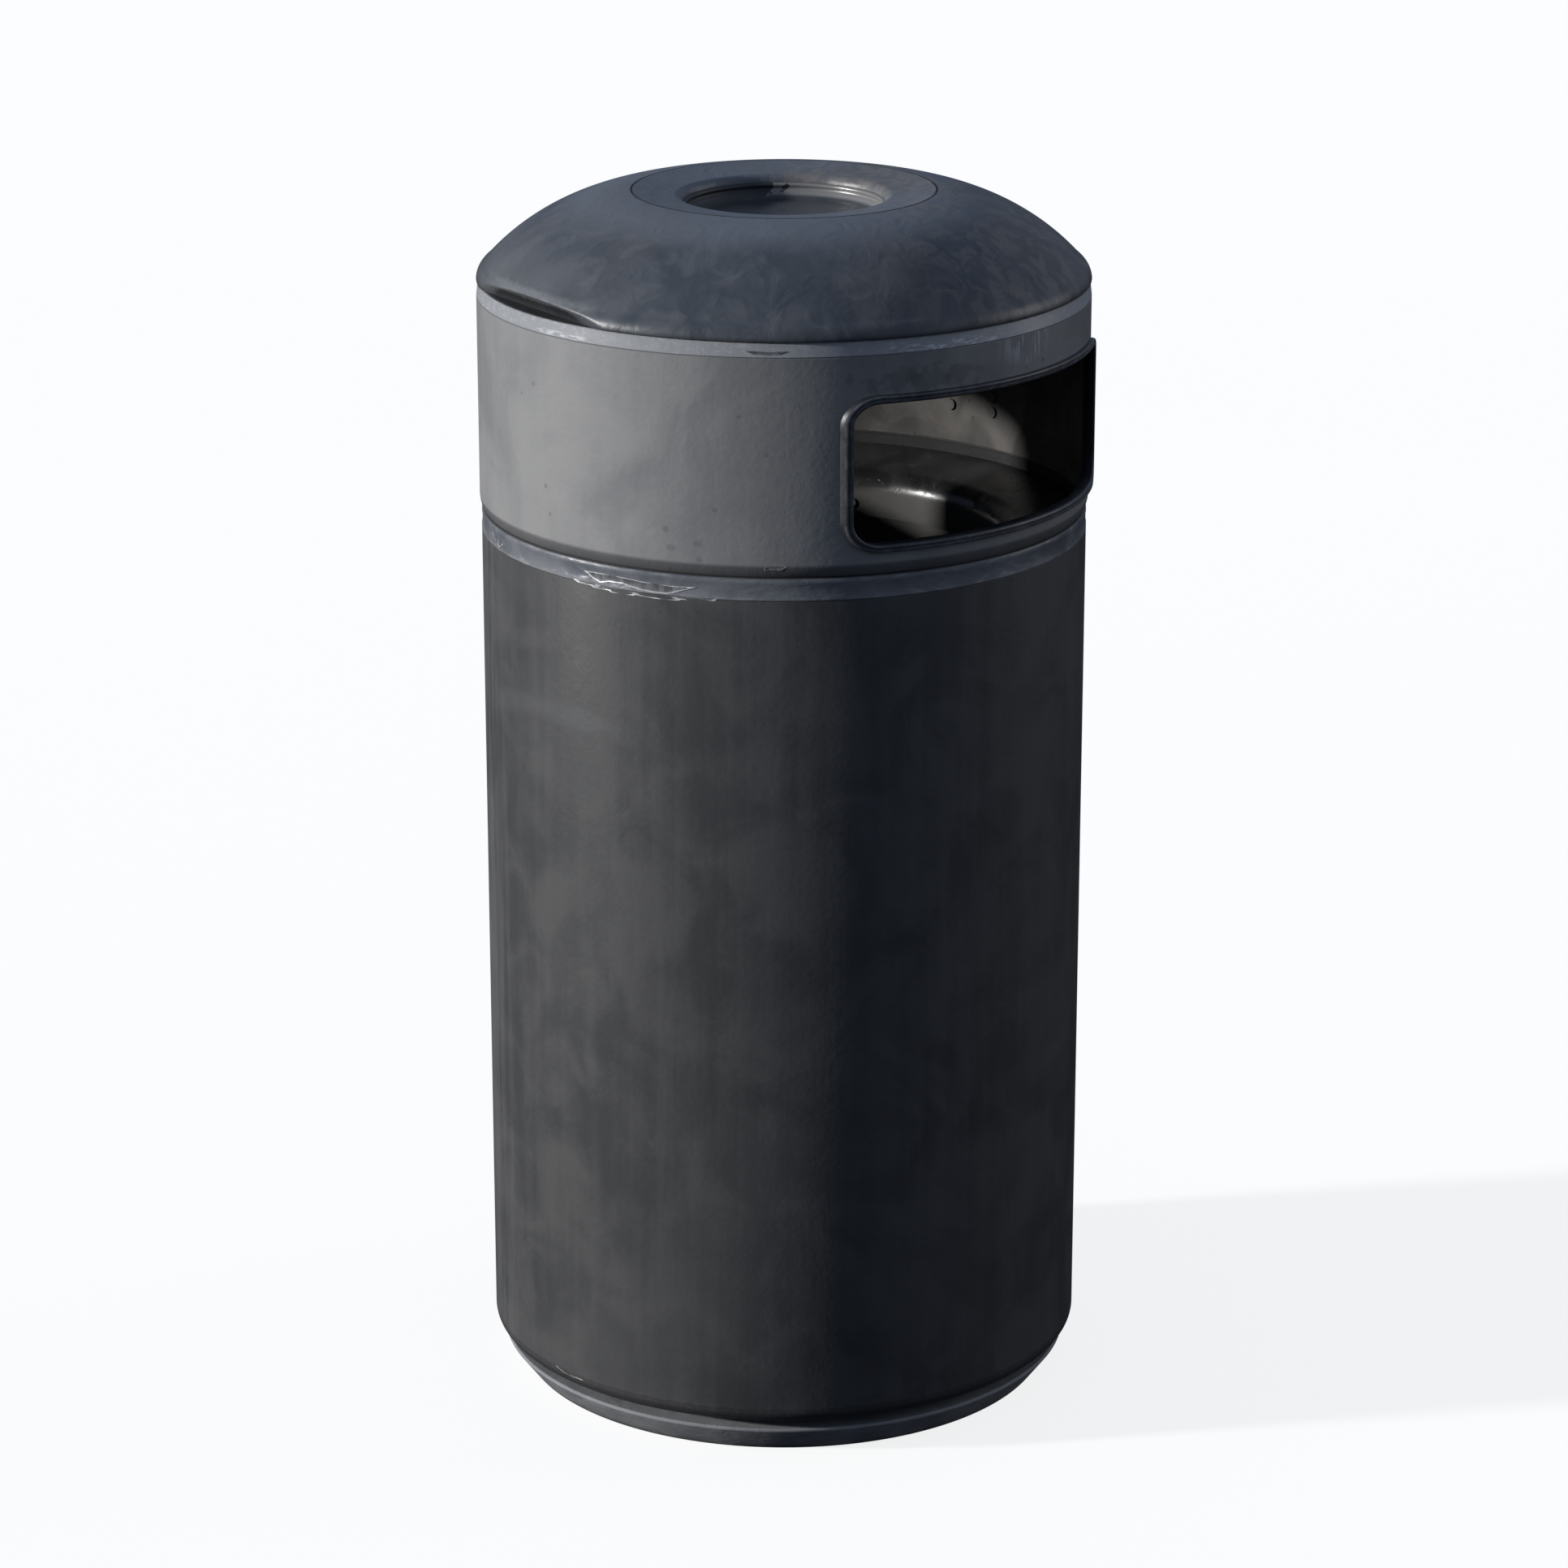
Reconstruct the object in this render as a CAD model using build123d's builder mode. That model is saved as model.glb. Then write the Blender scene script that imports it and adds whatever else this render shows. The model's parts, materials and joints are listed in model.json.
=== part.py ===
"""Round street litter bin with a hinged domed hood, a lift-out ash tray and a lift-out liner.

Frame: the origin is on the bin's axis at the ground, +Z is up. The two litter apertures face
-Y and +Y, the hood's hinge stands outside the shell at +X and its inside lock is at -X.
"""
from math import cos, radians, sin
import os

from build123d import *

# ---------------------------------------------------------------- driving dimensions (mm)
HOOD_R = 280.0            # outside radius of the hood
HOOD_WALL = 5.0
BODY_R = 278.5            # outside radius of the body
BODY_WALL = 4.0

SKIRT_TOP = 26.7          # top of the splayed plinth skirt
SKIRT_FOOT_R = 251.0
SKIRT_TOP_R = 269.0
NECK_R = 244.0            # recessed neck between the plinth and the body
BODY_BOTTOM = 36.5        # underside of the body, above a dark recess
BODY_ROLL = 49.0          # where the rolled bottom edge meets the straight wall
RETURN_R = 259.0          # inner edge of the bottom's inward return, where the floor plate sits
ROLL_START_R = 269.0      # where the rolled bottom edge begins
BAND_BOTTOM = 820.0       # lower edge of the body's top band
BODY_TOP = 840.5
COLLAR_SKIRT = 25.0       # depth of the collar's skirt inside the wall
COLLAR_BORE = 274.0
SKIRT_BORE = 270.5
HOOD_BOTTOM = 842.0
HOOD_ROLL = 853.0         # where the hood's rolled lower edge ends
HOOD_TOP = 1050.8
LID_RISE = 80.1           # from the hood's top edge to the ash tray's seam
SHEET = 4.0

APERTURE_Z = 932.0        # centre height of both apertures
APERTURE_W = 338.0        # clear opening inside the front trim
REAR_W = 250.0            # clear opening of the narrower rear aperture
APERTURE_H = 125.0
APERTURE_CORNER = 19.5
TRIM_LIP = 7.5            # width of the trim's outer lip
TRIM_PROUD = 5.0          # how far the lip stands out of the hood

TRAY_R = 138.3            # ash tray outside radius
TRAY_SEAM = 0.4           # gap round the tray
DISH_R = 92.0             # mouth of the ash dish
DISH_DEPTH = 14.0
DISH_FLOOR_R = 81.0
DISH_SHEET = 2.5
SPIGOT_R = 122.0          # the tray's spigot that drops through its seat
SPIGOT_WALL = 3.5
GAP = 0.3                 # clearance between parts that move apart

RIM_R = 272.5             # liner's black funnel rim
RIM_TOP = 831.0
RIM_SHEET = 3.0
LINER_R = 205.0           # bore of the funnel's neck
LINER_TOP = 800.0
LINER_BOTTOM = 59.0
LOCK_NOTCH = 96.0         # width of the rim's notch round the lock
LOCK_NOTCH_X = -240.0

HINGE_X = 292.0
HINGE_Z = 841.3
KNUCKLE_R = 7.0
PIN_R = 3.5
RUNNING_FIT = 0.06
LEAF_W = 80.0
RIVET_ANGLE = 5.35        # half the angle between a leaf's two rivet columns
RIVET_BORE = 3.1
KNUCKLE_SPLIT = 21.0      # half width of the hood's middle knuckle

LOCK_Z = 862.0            # height of the lock's spindle, which lies along X
BARREL_R = 9.0
CAM_X = -263.0            # outer face of the cam plate
CAM_SHEET = 4.0
KEEPER_DROP = 30.0        # keeper stud's distance below the spindle
KEEPER_R = 4.0

HANDLE_Y = 224.0          # pivot of each liner handle
HANDLE_Z = 829.5
ROD_R = 3.5

ANCHOR_PCD = 300.0
ANCHOR_R = 7.0
DRAIN_PCD = 160.0
SCOOP_ANGLE = 165.0       # compass position of the dent in the lid's lower edge
SCOOP_R = 20.0
LID_SCREW_RING = 268.0    # radius of the circle of lid screws
LID_SCREW_START = 25.0    # compass position of the first of them
RING_BORE = 258.0         # bore of the hood's top ring
RING_THICK = 8.8
FLANGE_THICK = 5.2        # of the lid's foot flange
SEAT_BORE = 124.0         # bore of the ash tray's seat
LINER_RIVET_Z = 788.0

hood_inner = HOOD_R - HOOD_WALL
body_inner = BODY_R - BODY_WALL


def ring(inner, outer, bottom, top):
    """A plain tube or washer about the bin's axis."""
    with BuildPart() as tube:
        with BuildSketch(Plane.XY.offset(bottom)):
            Circle(outer)
            Circle(inner, mode=Mode.SUBTRACT)
        extrude(amount=top - bottom)
    return tube.part


def radial(radius, angle, height):
    """A plane on a cylinder about Z, its normal pointing outward."""
    out = Vector(cos(radians(angle)), sin(radians(angle)), 0)
    return Plane(origin=out * radius + Vector(0, 0, height), z_dir=out, x_dir=(0, 0, 1))


# ================================================================ the standing body
with BuildPart() as base_plate:
    with BuildSketch():
        Circle(SKIRT_FOOT_R - 5.5)
        with PolarLocations(ANCHOR_PCD / 2, 4, start_angle=45):
            Circle(ANCHOR_R, mode=Mode.SUBTRACT)
        with PolarLocations(DRAIN_PCD / 2, 4):
            Circle(8, mode=Mode.SUBTRACT)
    extrude(amount=5)
base_plate.part.label = "base_plate"

# Splayed skirt, folded inward at its top
with BuildPart() as plinth_skirt:
    with BuildSketch(Plane.XZ):
        with BuildLine():
            Polyline(
                (SKIRT_FOOT_R - 5, 0),
                (SKIRT_FOOT_R, 0),
                (SKIRT_TOP_R, SKIRT_TOP - 2.5),
                (SKIRT_TOP_R - 1.5, SKIRT_TOP),
                (NECK_R + 0.5, SKIRT_TOP),
                (NECK_R + 0.5, SKIRT_TOP - 3),
                (SKIRT_TOP_R - 5.6, SKIRT_TOP - 3),
                close=True,
            )
        make_face()
    revolve(axis=Axis.Z)
plinth_skirt.part.label = "plinth_skirt"

# Neck that carries the body and leaves the shadow gap under it
with BuildPart() as plinth_neck:
    add(ring(NECK_R - SHEET, NECK_R, 5, BODY_BOTTOM))
plinth_neck.part.label = "plinth_neck"

with BuildPart() as body_floor:
    with BuildSketch(Plane.XY.offset(BODY_BOTTOM)):
        Circle(RETURN_R - 0.2)
        with PolarLocations(ANCHOR_PCD / 2, 4, start_angle=45):
            Circle(16, mode=Mode.SUBTRACT)
        with PolarLocations(DRAIN_PCD / 2, 4):
            Circle(8, mode=Mode.SUBTRACT)
    extrude(amount=SHEET)
body_floor.part.label = "body_floor"

LOWER_RIVETS = [(a, z) for a in (-RIVET_ANGLE, RIVET_ANGLE) for z in (776, 789)]
UPPER_RIVETS = [(a, z) for a in (-RIVET_ANGLE, RIVET_ANGLE) for z in (878, 892)]

# Straight wall with a rolled lower edge
with BuildPart() as body_shell:
    with BuildSketch(Plane.XZ):
        with BuildLine():
            Line((RETURN_R, BODY_BOTTOM), (ROLL_START_R + 1, BODY_BOTTOM))
            ThreePointArc((ROLL_START_R + 1, BODY_BOTTOM), (BODY_R - 2.3, BODY_ROLL - 8), (BODY_R, BODY_ROLL))
            Polyline(
                (BODY_R, BODY_ROLL),
                (BODY_R, BAND_BOTTOM),
                (body_inner, BAND_BOTTOM),
                (body_inner, BODY_ROLL + 1),
            )
            ThreePointArc(
                (body_inner, BODY_ROLL + 1),
                (body_inner - 1.5, BODY_ROLL - 5.2),
                (ROLL_START_R, BODY_BOTTOM + SHEET),
            )
            Polyline(
                (ROLL_START_R, BODY_BOTTOM + SHEET),
                (RETURN_R, BODY_BOTTOM + SHEET),
                (RETURN_R, BODY_BOTTOM),
            )
        make_face()
    revolve(axis=Axis.Z)
    with Locations(*[radial(BODY_R, a, z) for a, z in LOWER_RIVETS]):
        Cylinder(RIVET_BORE, 20, mode=Mode.SUBTRACT)
body_shell.part.label = "body_shell"

# Top band of the body: a stepped hoop whose skirt fits inside the wall
with BuildPart() as body_collar:
    with BuildSketch(Plane.XZ):
        with BuildLine():
            Polyline(
                (BODY_R, BAND_BOTTOM),
                (BODY_R, BODY_TOP - 3),
                (BODY_R - 1.2, BODY_TOP),
                (COLLAR_BORE, BODY_TOP),
                (COLLAR_BORE, BAND_BOTTOM + 2),
                (SKIRT_BORE, BAND_BOTTOM + 2),
                (SKIRT_BORE, BAND_BOTTOM - COLLAR_SKIRT),
                (body_inner - 0.1, BAND_BOTTOM - COLLAR_SKIRT),
                (body_inner - 0.1, BAND_BOTTOM),
                close=True,
            )
        make_face()
    revolve(axis=Axis.Z)
body_collar.part.label = "body_collar"

with BuildPart() as hood_seal:
    add(ring(COLLAR_BORE + GAP, BODY_R - 1.5, BODY_TOP, HOOD_BOTTOM - GAP))
hood_seal.part.label = "hood_seal"

# Six angle brackets inside the collar, which the liner's rim hangs on
bracket_arc = 8.0
bracket_back = SKIRT_BORE - 0.1
ledge_top = RIM_TOP - RIM_SHEET - GAP
with BuildPart() as liner_brackets:
    for n in range(6):
        with BuildSketch(Plane.XZ.rotated((0, 0, 30 + 60 * n - bracket_arc / 2))):
            with BuildLine():
                Polyline(
                    (bracket_back, ledge_top - 29.7),
                    (bracket_back, ledge_top),
                    (bracket_back - 5.4, ledge_top),
                    (bracket_back - 5.4, ledge_top - 3.5),
                    (bracket_back - 3, ledge_top - 3.5),
                    (bracket_back - 3, ledge_top - 29.7),
                    close=True,
                )
            make_face()
        revolve(axis=Axis.Z, revolution_arc=bracket_arc)
liner_brackets.part.label = "liner_brackets"

# Keeper: a pad on the collar with a headed stud that the cam hooks under
keeper_z = LOCK_Z - KEEPER_DROP
keeper_x = -SKIRT_BORE + 0.6
with BuildPart() as lock_keeper:
    with BuildSketch(Plane.YZ.offset(keeper_x)):
        with Locations((0, keeper_z - 8)):
            Rectangle(32, 28)
    extrude(amount=3)
    with BuildSketch(Plane.YZ.offset(keeper_x + 2.9)):
        with Locations((0, keeper_z)):
            Circle(KEEPER_R)
    extrude(amount=10)
    with BuildSketch(Plane.YZ.offset(keeper_x + 12.9)):
        with Locations((0, keeper_z)):
            Circle(6.5)
    extrude(amount=2.5)
lock_keeper.part.label = "lock_keeper"


# ================================================================ the hinge
def leaf(inner, bottom, top):
    """A curved plate that lies on the shell at +X."""
    with BuildPart() as plate:
        with BuildSketch(Plane.XY.offset(bottom)):
            Circle(inner + SHEET)
            Circle(inner, mode=Mode.SUBTRACT)
            with Locations((inner, 0)):
                Rectangle(60, LEAF_W, mode=Mode.INTERSECT)
        extrude(amount=top - bottom)
    return plate.part


def knuckle(web, start, width, bore):
    """A hinge knuckle on its web, running from start along +Y."""
    with BuildPart() as piece:
        with BuildSketch(Plane.XZ.offset(-start - width)):
            with BuildLine():
                Polyline(*web, close=True)
            make_face()
            with Locations((HINGE_X, HINGE_Z)):
                Circle(KNUCKLE_R)
                Circle(bore, mode=Mode.SUBTRACT)
        extrude(amount=width)
    return piece.part


lower_web = [(281, 812), (283, 812), (298, 837.7), (HINGE_X, HINGE_Z), (286, HINGE_Z), (281, 828)]
upper_web = [(282, 874), (284, 874), (298, 844.9), (HINGE_X, HINGE_Z), (286, HINGE_Z), (282, 854)]

lower_plate = leaf(BODY_R + 0.1, 768, 829)
lower_knuckles = [
    knuckle(lower_web, start, 20.5, PIN_R + 0.02) for start in (KNUCKLE_SPLIT + 0.5, -KNUCKLE_SPLIT - 21)
]
with BuildPart() as hinge_lower_leaf:
    add(lower_plate)
    add(lower_knuckles)
    with Locations(*[radial(BODY_R, a, z) for a, z in LOWER_RIVETS]):
        Cylinder(RIVET_BORE, 20, mode=Mode.SUBTRACT)
hinge_lower_leaf.part.label = "hinge_lower_leaf"

upper_plate = leaf(HOOD_R + 0.1, 854, 904)
upper_knuckle = knuckle(upper_web, -KNUCKLE_SPLIT, 2 * KNUCKLE_SPLIT, PIN_R + RUNNING_FIT)
with BuildPart() as hinge_upper_leaf:
    add(upper_plate)
    add(upper_knuckle)
    with Locations(*[radial(HOOD_R, a, z) for a, z in UPPER_RIVETS]):
        Cylinder(RIVET_BORE, 20, mode=Mode.SUBTRACT)
hinge_upper_leaf.part.label = "hinge_upper_leaf"

pin_end = KNUCKLE_SPLIT + 21
with BuildPart() as hinge_pin:
    with BuildSketch(Plane.XZ.offset(-pin_end - 3)):
        with Locations((HINGE_X, HINGE_Z)):
            Circle(PIN_R)
    extrude(amount=2 * pin_end + 6)
    for end in (-pin_end - 3, pin_end):
        with BuildSketch(Plane.XZ.offset(end)):
            with Locations((HINGE_X, HINGE_Z)):
                Circle(5.5)
        extrude(amount=3)
hinge_pin.part.label = "hinge_pin"


def rivets(places, inside, outside):
    """Round-headed rivets along the radius, from the inner sheet to the outer plate."""
    with BuildPart() as group:
        with Locations(*[radial(inside - 1.8, a, z) for a, z in places]):
            Cylinder(5.5, 1.8, align=(Align.CENTER, Align.CENTER, Align.MIN))
            Cylinder(3, outside - inside + 3, align=(Align.CENTER, Align.CENTER, Align.MIN))
        with Locations(*[radial(outside + 0.05, a, z) for a, z in places]):
            Cylinder(5.5, 2.5, align=(Align.CENTER, Align.CENTER, Align.MIN))
    return group.part


lower_rivets = rivets(LOWER_RIVETS, body_inner - 0.1, BODY_R + 0.1 + SHEET)
with BuildPart() as hinge_lower_rivets:
    add(lower_rivets)
hinge_lower_rivets.part.label = "hinge_lower_rivets"

upper_rivets = rivets(UPPER_RIVETS, hood_inner - 0.1, HOOD_R + 0.1 + SHEET)
with BuildPart() as hinge_upper_rivets:
    add(upper_rivets)
hinge_upper_rivets.part.label = "hinge_upper_rivets"

# ================================================================ the hood
wall_cut = 8.7            # the wall's hole is this much larger than the clear opening

with BuildPart() as hood_shell:
    with BuildSketch(Plane.XZ):
        with BuildLine():
            Line((hood_inner, HOOD_BOTTOM), (HOOD_R - 3, HOOD_BOTTOM))
            ThreePointArc((HOOD_R - 3, HOOD_BOTTOM), (HOOD_R - 0.8, HOOD_BOTTOM + 5.2), (HOOD_R, HOOD_ROLL))
            Polyline(
                (HOOD_R, HOOD_ROLL),
                (HOOD_R, HOOD_TOP),
                (hood_inner, HOOD_TOP),
                (hood_inner, HOOD_BOTTOM),
            )
        make_face()
    revolve(axis=Axis.Z)
    for side, width in ((1, APERTURE_W), (-1, REAR_W)):
        with BuildSketch(Plane.XZ):
            with Locations((0, APERTURE_Z)):
                RectangleRounded(width + wall_cut, APERTURE_H + wall_cut, APERTURE_CORNER + wall_cut / 2)
        extrude(amount=side * (HOOD_R + 10), mode=Mode.SUBTRACT)
    with Locations(*[radial(HOOD_R, a, z) for a, z in UPPER_RIVETS]):
        Cylinder(RIVET_BORE, 20, mode=Mode.SUBTRACT)
hood_shell.part.label = "hood_shell"


def frame_band(width, margin, inner, outer, side):
    """A rounded frame round an aperture, cut out of the cylinder between two radii."""
    with BuildPart() as band:
        with BuildSketch(Plane.XZ):
            with Locations((0, APERTURE_Z)):
                RectangleRounded(width + margin, APERTURE_H + margin, APERTURE_CORNER + margin / 2)
                RectangleRounded(width, APERTURE_H, APERTURE_CORNER, mode=Mode.SUBTRACT)
        extrude(amount=side * (HOOD_R + 10))
        with BuildSketch(Plane.XY.offset(APERTURE_Z - APERTURE_H)):
            Circle(outer)
            Circle(inner, mode=Mode.SUBTRACT)
        extrude(amount=2 * APERTURE_H, mode=Mode.INTERSECT)
    return band.part


# Each trim is a T in section: a lining through the wall and a lip that stands out of it
trims = []
for side, width, name in ((1, APERTURE_W, "front_aperture_trim"), (-1, REAR_W, "rear_aperture_trim")):
    lining = frame_band(width, wall_cut - 0.4, hood_inner - 1, HOOD_R + 0.1, side)
    lip = frame_band(width, 2 * TRIM_LIP, HOOD_R + 0.1, HOOD_R + TRIM_PROUD, side)
    with BuildPart() as aperture_trim:
        add(lining)
        add(lip)
    aperture_trim.part.label = name
    trims.append(aperture_trim)

with BuildPart() as hood_top_ring:
    with BuildSketch(Plane.XY.offset(HOOD_TOP - RING_THICK)):
        Circle(hood_inner - 0.1)
        Circle(RING_BORE, mode=Mode.SUBTRACT)
        with PolarLocations(LID_SCREW_RING, 6, start_angle=LID_SCREW_START):
            Circle(3.2, mode=Mode.SUBTRACT)
    extrude(amount=RING_THICK)
hood_top_ring.part.label = "hood_top_ring"


def dome(inset):
    """The lid's solid dome, inset from the outer surface: a tight lower curve and a wide crown."""
    with BuildPart() as solid:
        with BuildSketch(Plane.XZ):
            with BuildLine():
                shoulder = (272.5 - 0.75 * inset, HOOD_TOP + 14 - 0.7 * inset)
                crown = (TRAY_R, HOOD_TOP + LID_RISE - inset)
                ThreePointArc(
                    (HOOD_R - inset, HOOD_TOP), (278.3 - inset, HOOD_TOP + 7.4 - 0.3 * inset), shoulder
                )
                ThreePointArc(shoulder, (211.6 - 0.45 * inset, HOOD_TOP + 59.6 - 0.9 * inset), crown)
                Polyline(crown, (0, crown[1]), (0, HOOD_TOP), (HOOD_R - inset, HOOD_TOP))
            make_face()
        revolve(axis=Axis.Z)
    return solid.part


def scoop(radius):
    """The dent in the lid's lower edge: a bar lying along the tangent at the dent's position."""
    out = Vector(cos(radians(SCOOP_ANGLE)), sin(radians(SCOOP_ANGLE)), 0)
    across = Vector(-out.Y, out.X, 0)
    centre = out * (HOOD_R + 2) + Vector(0, 0, HOOD_TOP - 4)
    return Plane(origin=centre, z_dir=across) * Cylinder(radius, 260)


tray_z = HOOD_TOP + LID_RISE
seat_z = tray_z - 7.3
# The lid's hollow stops short of the dent, so the sheet runs behind it
inner_dome = dome(SHEET)
dent = scoop(SCOOP_R)
with BuildPart() as lid_hollow:
    add(inner_dome)
    add(scoop(SCOOP_R + SHEET), mode=Mode.SUBTRACT)

outer_dome = dome(0)
foot_flange = ring(RING_BORE + 1, HOOD_R - SHEET, HOOD_TOP, HOOD_TOP + FLANGE_THICK)
tray_seat = ring(SEAT_BORE, SEAT_BORE + 26, seat_z - 6.5, tray_z - 5)
with BuildPart() as lid_dome:
    add(outer_dome)
    add(dent, mode=Mode.SUBTRACT)
    add(lid_hollow.part, mode=Mode.SUBTRACT)
    add(foot_flange)
    add(dent, mode=Mode.SUBTRACT)
    with BuildSketch(Plane.XY.offset(seat_z - 6.5)):
        Circle(SEAT_BORE)
    extrude(amount=40, mode=Mode.SUBTRACT)
    add(tray_seat)
    with BuildSketch(Plane.XY.offset(seat_z)):
        Circle(TRAY_R + TRAY_SEAM)
    extrude(amount=20, mode=Mode.SUBTRACT)
    with BuildSketch(Plane.XY.offset(HOOD_TOP)):
        with PolarLocations(LID_SCREW_RING, 6, start_angle=LID_SCREW_START):
            Circle(3.05)
    extrude(amount=FLANGE_THICK, mode=Mode.SUBTRACT)
lid_dome.part.label = "lid_dome"

with BuildPart() as lid_screws:
    with BuildSketch(Plane.XY.offset(HOOD_TOP - 13.3)):
        with PolarLocations(LID_SCREW_RING, 6, start_angle=LID_SCREW_START):
            RegularPolygon(6, 6)
    extrude(amount=4.4)
    with BuildSketch(Plane.XY.offset(HOOD_TOP - 9)):
        with PolarLocations(LID_SCREW_RING, 6, start_angle=LID_SCREW_START):
            Circle(3)
    extrude(amount=13.8)
lid_screws.part.label = "lid_screws"

# ================================================================ the ash tray
with BuildPart() as ash_tray:
    with BuildSketch(Plane.XZ):
        with BuildLine():
            Polyline(
                (DISH_R, tray_z - 12),
                (SPIGOT_R - SPIGOT_WALL, tray_z - 12),
                (SPIGOT_R - SPIGOT_WALL, tray_z - 19),
                (SPIGOT_R, tray_z - 19),
                (SPIGOT_R, seat_z + GAP),
                (TRAY_R, seat_z + GAP),
                (TRAY_R, tray_z),
                (DISH_R + 7, tray_z - 5),
            )
            ThreePointArc((DISH_R + 7, tray_z - 5), (DISH_R + 2, tray_z - 7.2), (DISH_R, tray_z - 12))
        make_face()
    revolve(axis=Axis.Z)
ash_tray.part.label = "ash_tray"

# The dish: a retaining ring under the tray, the pan's curved wall and its floor
dish_z = tray_z - 12.1
floor_z = dish_z - DISH_DEPTH
wall_top = DISH_R - 2
wall_back = wall_top + 2.6
with BuildPart() as ash_dish_ring:
    with BuildSketch(Plane.XY.offset(dish_z - DISH_SHEET)):
        Circle(SPIGOT_R - 6)
        Circle(wall_back + 0.1, mode=Mode.SUBTRACT)
    extrude(amount=DISH_SHEET)
ash_dish_ring.part.label = "ash_dish_ring"

with BuildPart() as ash_dish_wall:
    with BuildSketch(Plane.XZ):
        with BuildLine():
            ThreePointArc((DISH_FLOOR_R, floor_z), (87.2, dish_z - 8.5), (wall_top, dish_z))
            Polyline((wall_top, dish_z), (wall_back, dish_z), (wall_back, dish_z - DISH_SHEET))
            ThreePointArc(
                (wall_back, dish_z - DISH_SHEET),
                (89.2, dish_z - 10.3),
                (DISH_FLOOR_R, floor_z - DISH_SHEET),
            )
            Line((DISH_FLOOR_R, floor_z - DISH_SHEET), (DISH_FLOOR_R, floor_z))
        make_face()
    revolve(axis=Axis.Z)
ash_dish_wall.part.label = "ash_dish_wall"

with BuildPart() as ash_dish_floor:
    with BuildSketch(Plane.XY.offset(floor_z - DISH_SHEET)):
        Circle(DISH_FLOOR_R)
    extrude(amount=DISH_SHEET)
ash_dish_floor.part.label = "ash_dish_floor"

# ================================================================ the lock
plate_back = -hood_inner + 1.6
plate_front = plate_back + 17.4
with BuildPart() as lock_bracket:
    with BuildSketch(Plane.XZ.offset(-24)):
        with BuildLine():
            Polyline(
                (plate_front, LOCK_Z - 16),
                (plate_front + 4, LOCK_Z - 16),
                (plate_front + 4, LOCK_Z + 28),
                (plate_back + 3, LOCK_Z + 28),
                (plate_back + 3, LOCK_Z + 48),
                (plate_back, LOCK_Z + 48),
                (plate_back, LOCK_Z + 24),
                (plate_front, LOCK_Z + 24),
                close=True,
            )
        make_face()
    extrude(amount=48)
    with BuildSketch(Plane.YZ.offset(plate_front)):
        with Locations((0, LOCK_Z)):
            Circle(BARREL_R + RUNNING_FIT)
    extrude(amount=4, mode=Mode.SUBTRACT)
    with BuildSketch(Plane.YZ.offset(plate_back)):
        with Locations((-14, LOCK_Z + 38), (14, LOCK_Z + 38)):
            Circle(3.3)
    extrude(amount=4, mode=Mode.SUBTRACT)
lock_bracket.part.label = "lock_bracket"

with BuildPart() as lock_nuts:
    with BuildSketch(Plane.YZ.offset(plate_back + 3.05)):
        with Locations((-14, LOCK_Z + 38), (14, LOCK_Z + 38)):
            RegularPolygon(6, 6)
    extrude(amount=4.5)
    with BuildSketch(Plane.YZ.offset(plate_back - 0.8)):
        with Locations((-14, LOCK_Z + 38), (14, LOCK_Z + 38)):
            Circle(3)
    extrude(amount=10)
lock_nuts.part.label = "lock_nuts"

# Spindle with a three-sided key socket in its head
with BuildPart() as lock_barrel:
    with BuildSketch(Plane.YZ.offset(CAM_X - 6)):
        with Locations((0, LOCK_Z)):
            Circle(5)
    extrude(amount=10.2)
    with BuildSketch(Plane.YZ.offset(CAM_X + CAM_SHEET + 0.1)):
        with Locations((0, LOCK_Z)):
            Circle(BARREL_R)
    extrude(amount=8)
    with BuildSketch(Plane.YZ.offset(plate_front + 4 + GAP)):
        with Locations((0, LOCK_Z)):
            Circle(12)
    extrude(amount=5)
    with BuildSketch(Plane.YZ.offset(plate_front + 9 + GAP)):
        with Locations((0, LOCK_Z)):
            RegularPolygon(5.5, 3)
    extrude(amount=-4, mode=Mode.SUBTRACT)
lock_barrel.part.label = "lock_barrel"

# Hooked cam: an arm from the hub to an arc that swings under the keeper's stud
jaw_inner = KEEPER_DROP + KEEPER_R + 1
jaw_outer = jaw_inner + 7
with BuildPart() as lock_cam:
    with BuildSketch(Plane.YZ.offset(CAM_X)):
        with Locations((0, LOCK_Z)):
            Circle(jaw_outer)
            Circle(jaw_inner, mode=Mode.SUBTRACT)
            with BuildLine(mode=Mode.PRIVATE) as sector:
                Polyline(
                    (0, LOCK_Z),
                    (60 * cos(radians(148)), LOCK_Z + 60 * sin(radians(148))),
                    (-70, LOCK_Z),
                    (60 * cos(radians(200)), LOCK_Z + 60 * sin(radians(200))),
                    close=True,
                )
        add(make_face(sector.edges(), mode=Mode.PRIVATE), mode=Mode.INTERSECT)
        with Locations((20 * cos(radians(154)), LOCK_Z + 20 * sin(radians(154)))):
            Rectangle(38, 8, rotation=154)
        with Locations((0, LOCK_Z)):
            Circle(10)
            Circle(5.05, mode=Mode.SUBTRACT)
    extrude(amount=CAM_SHEET)
lock_cam.part.label = "lock_cam"

with BuildPart() as cam_nut:
    with BuildSketch(Plane.YZ.offset(CAM_X - 4.1)):
        with Locations((0, LOCK_Z)):
            RegularPolygon(8, 6)
            Circle(5.05, mode=Mode.SUBTRACT)
    extrude(amount=4)
cam_nut.part.label = "cam_nut"

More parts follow.
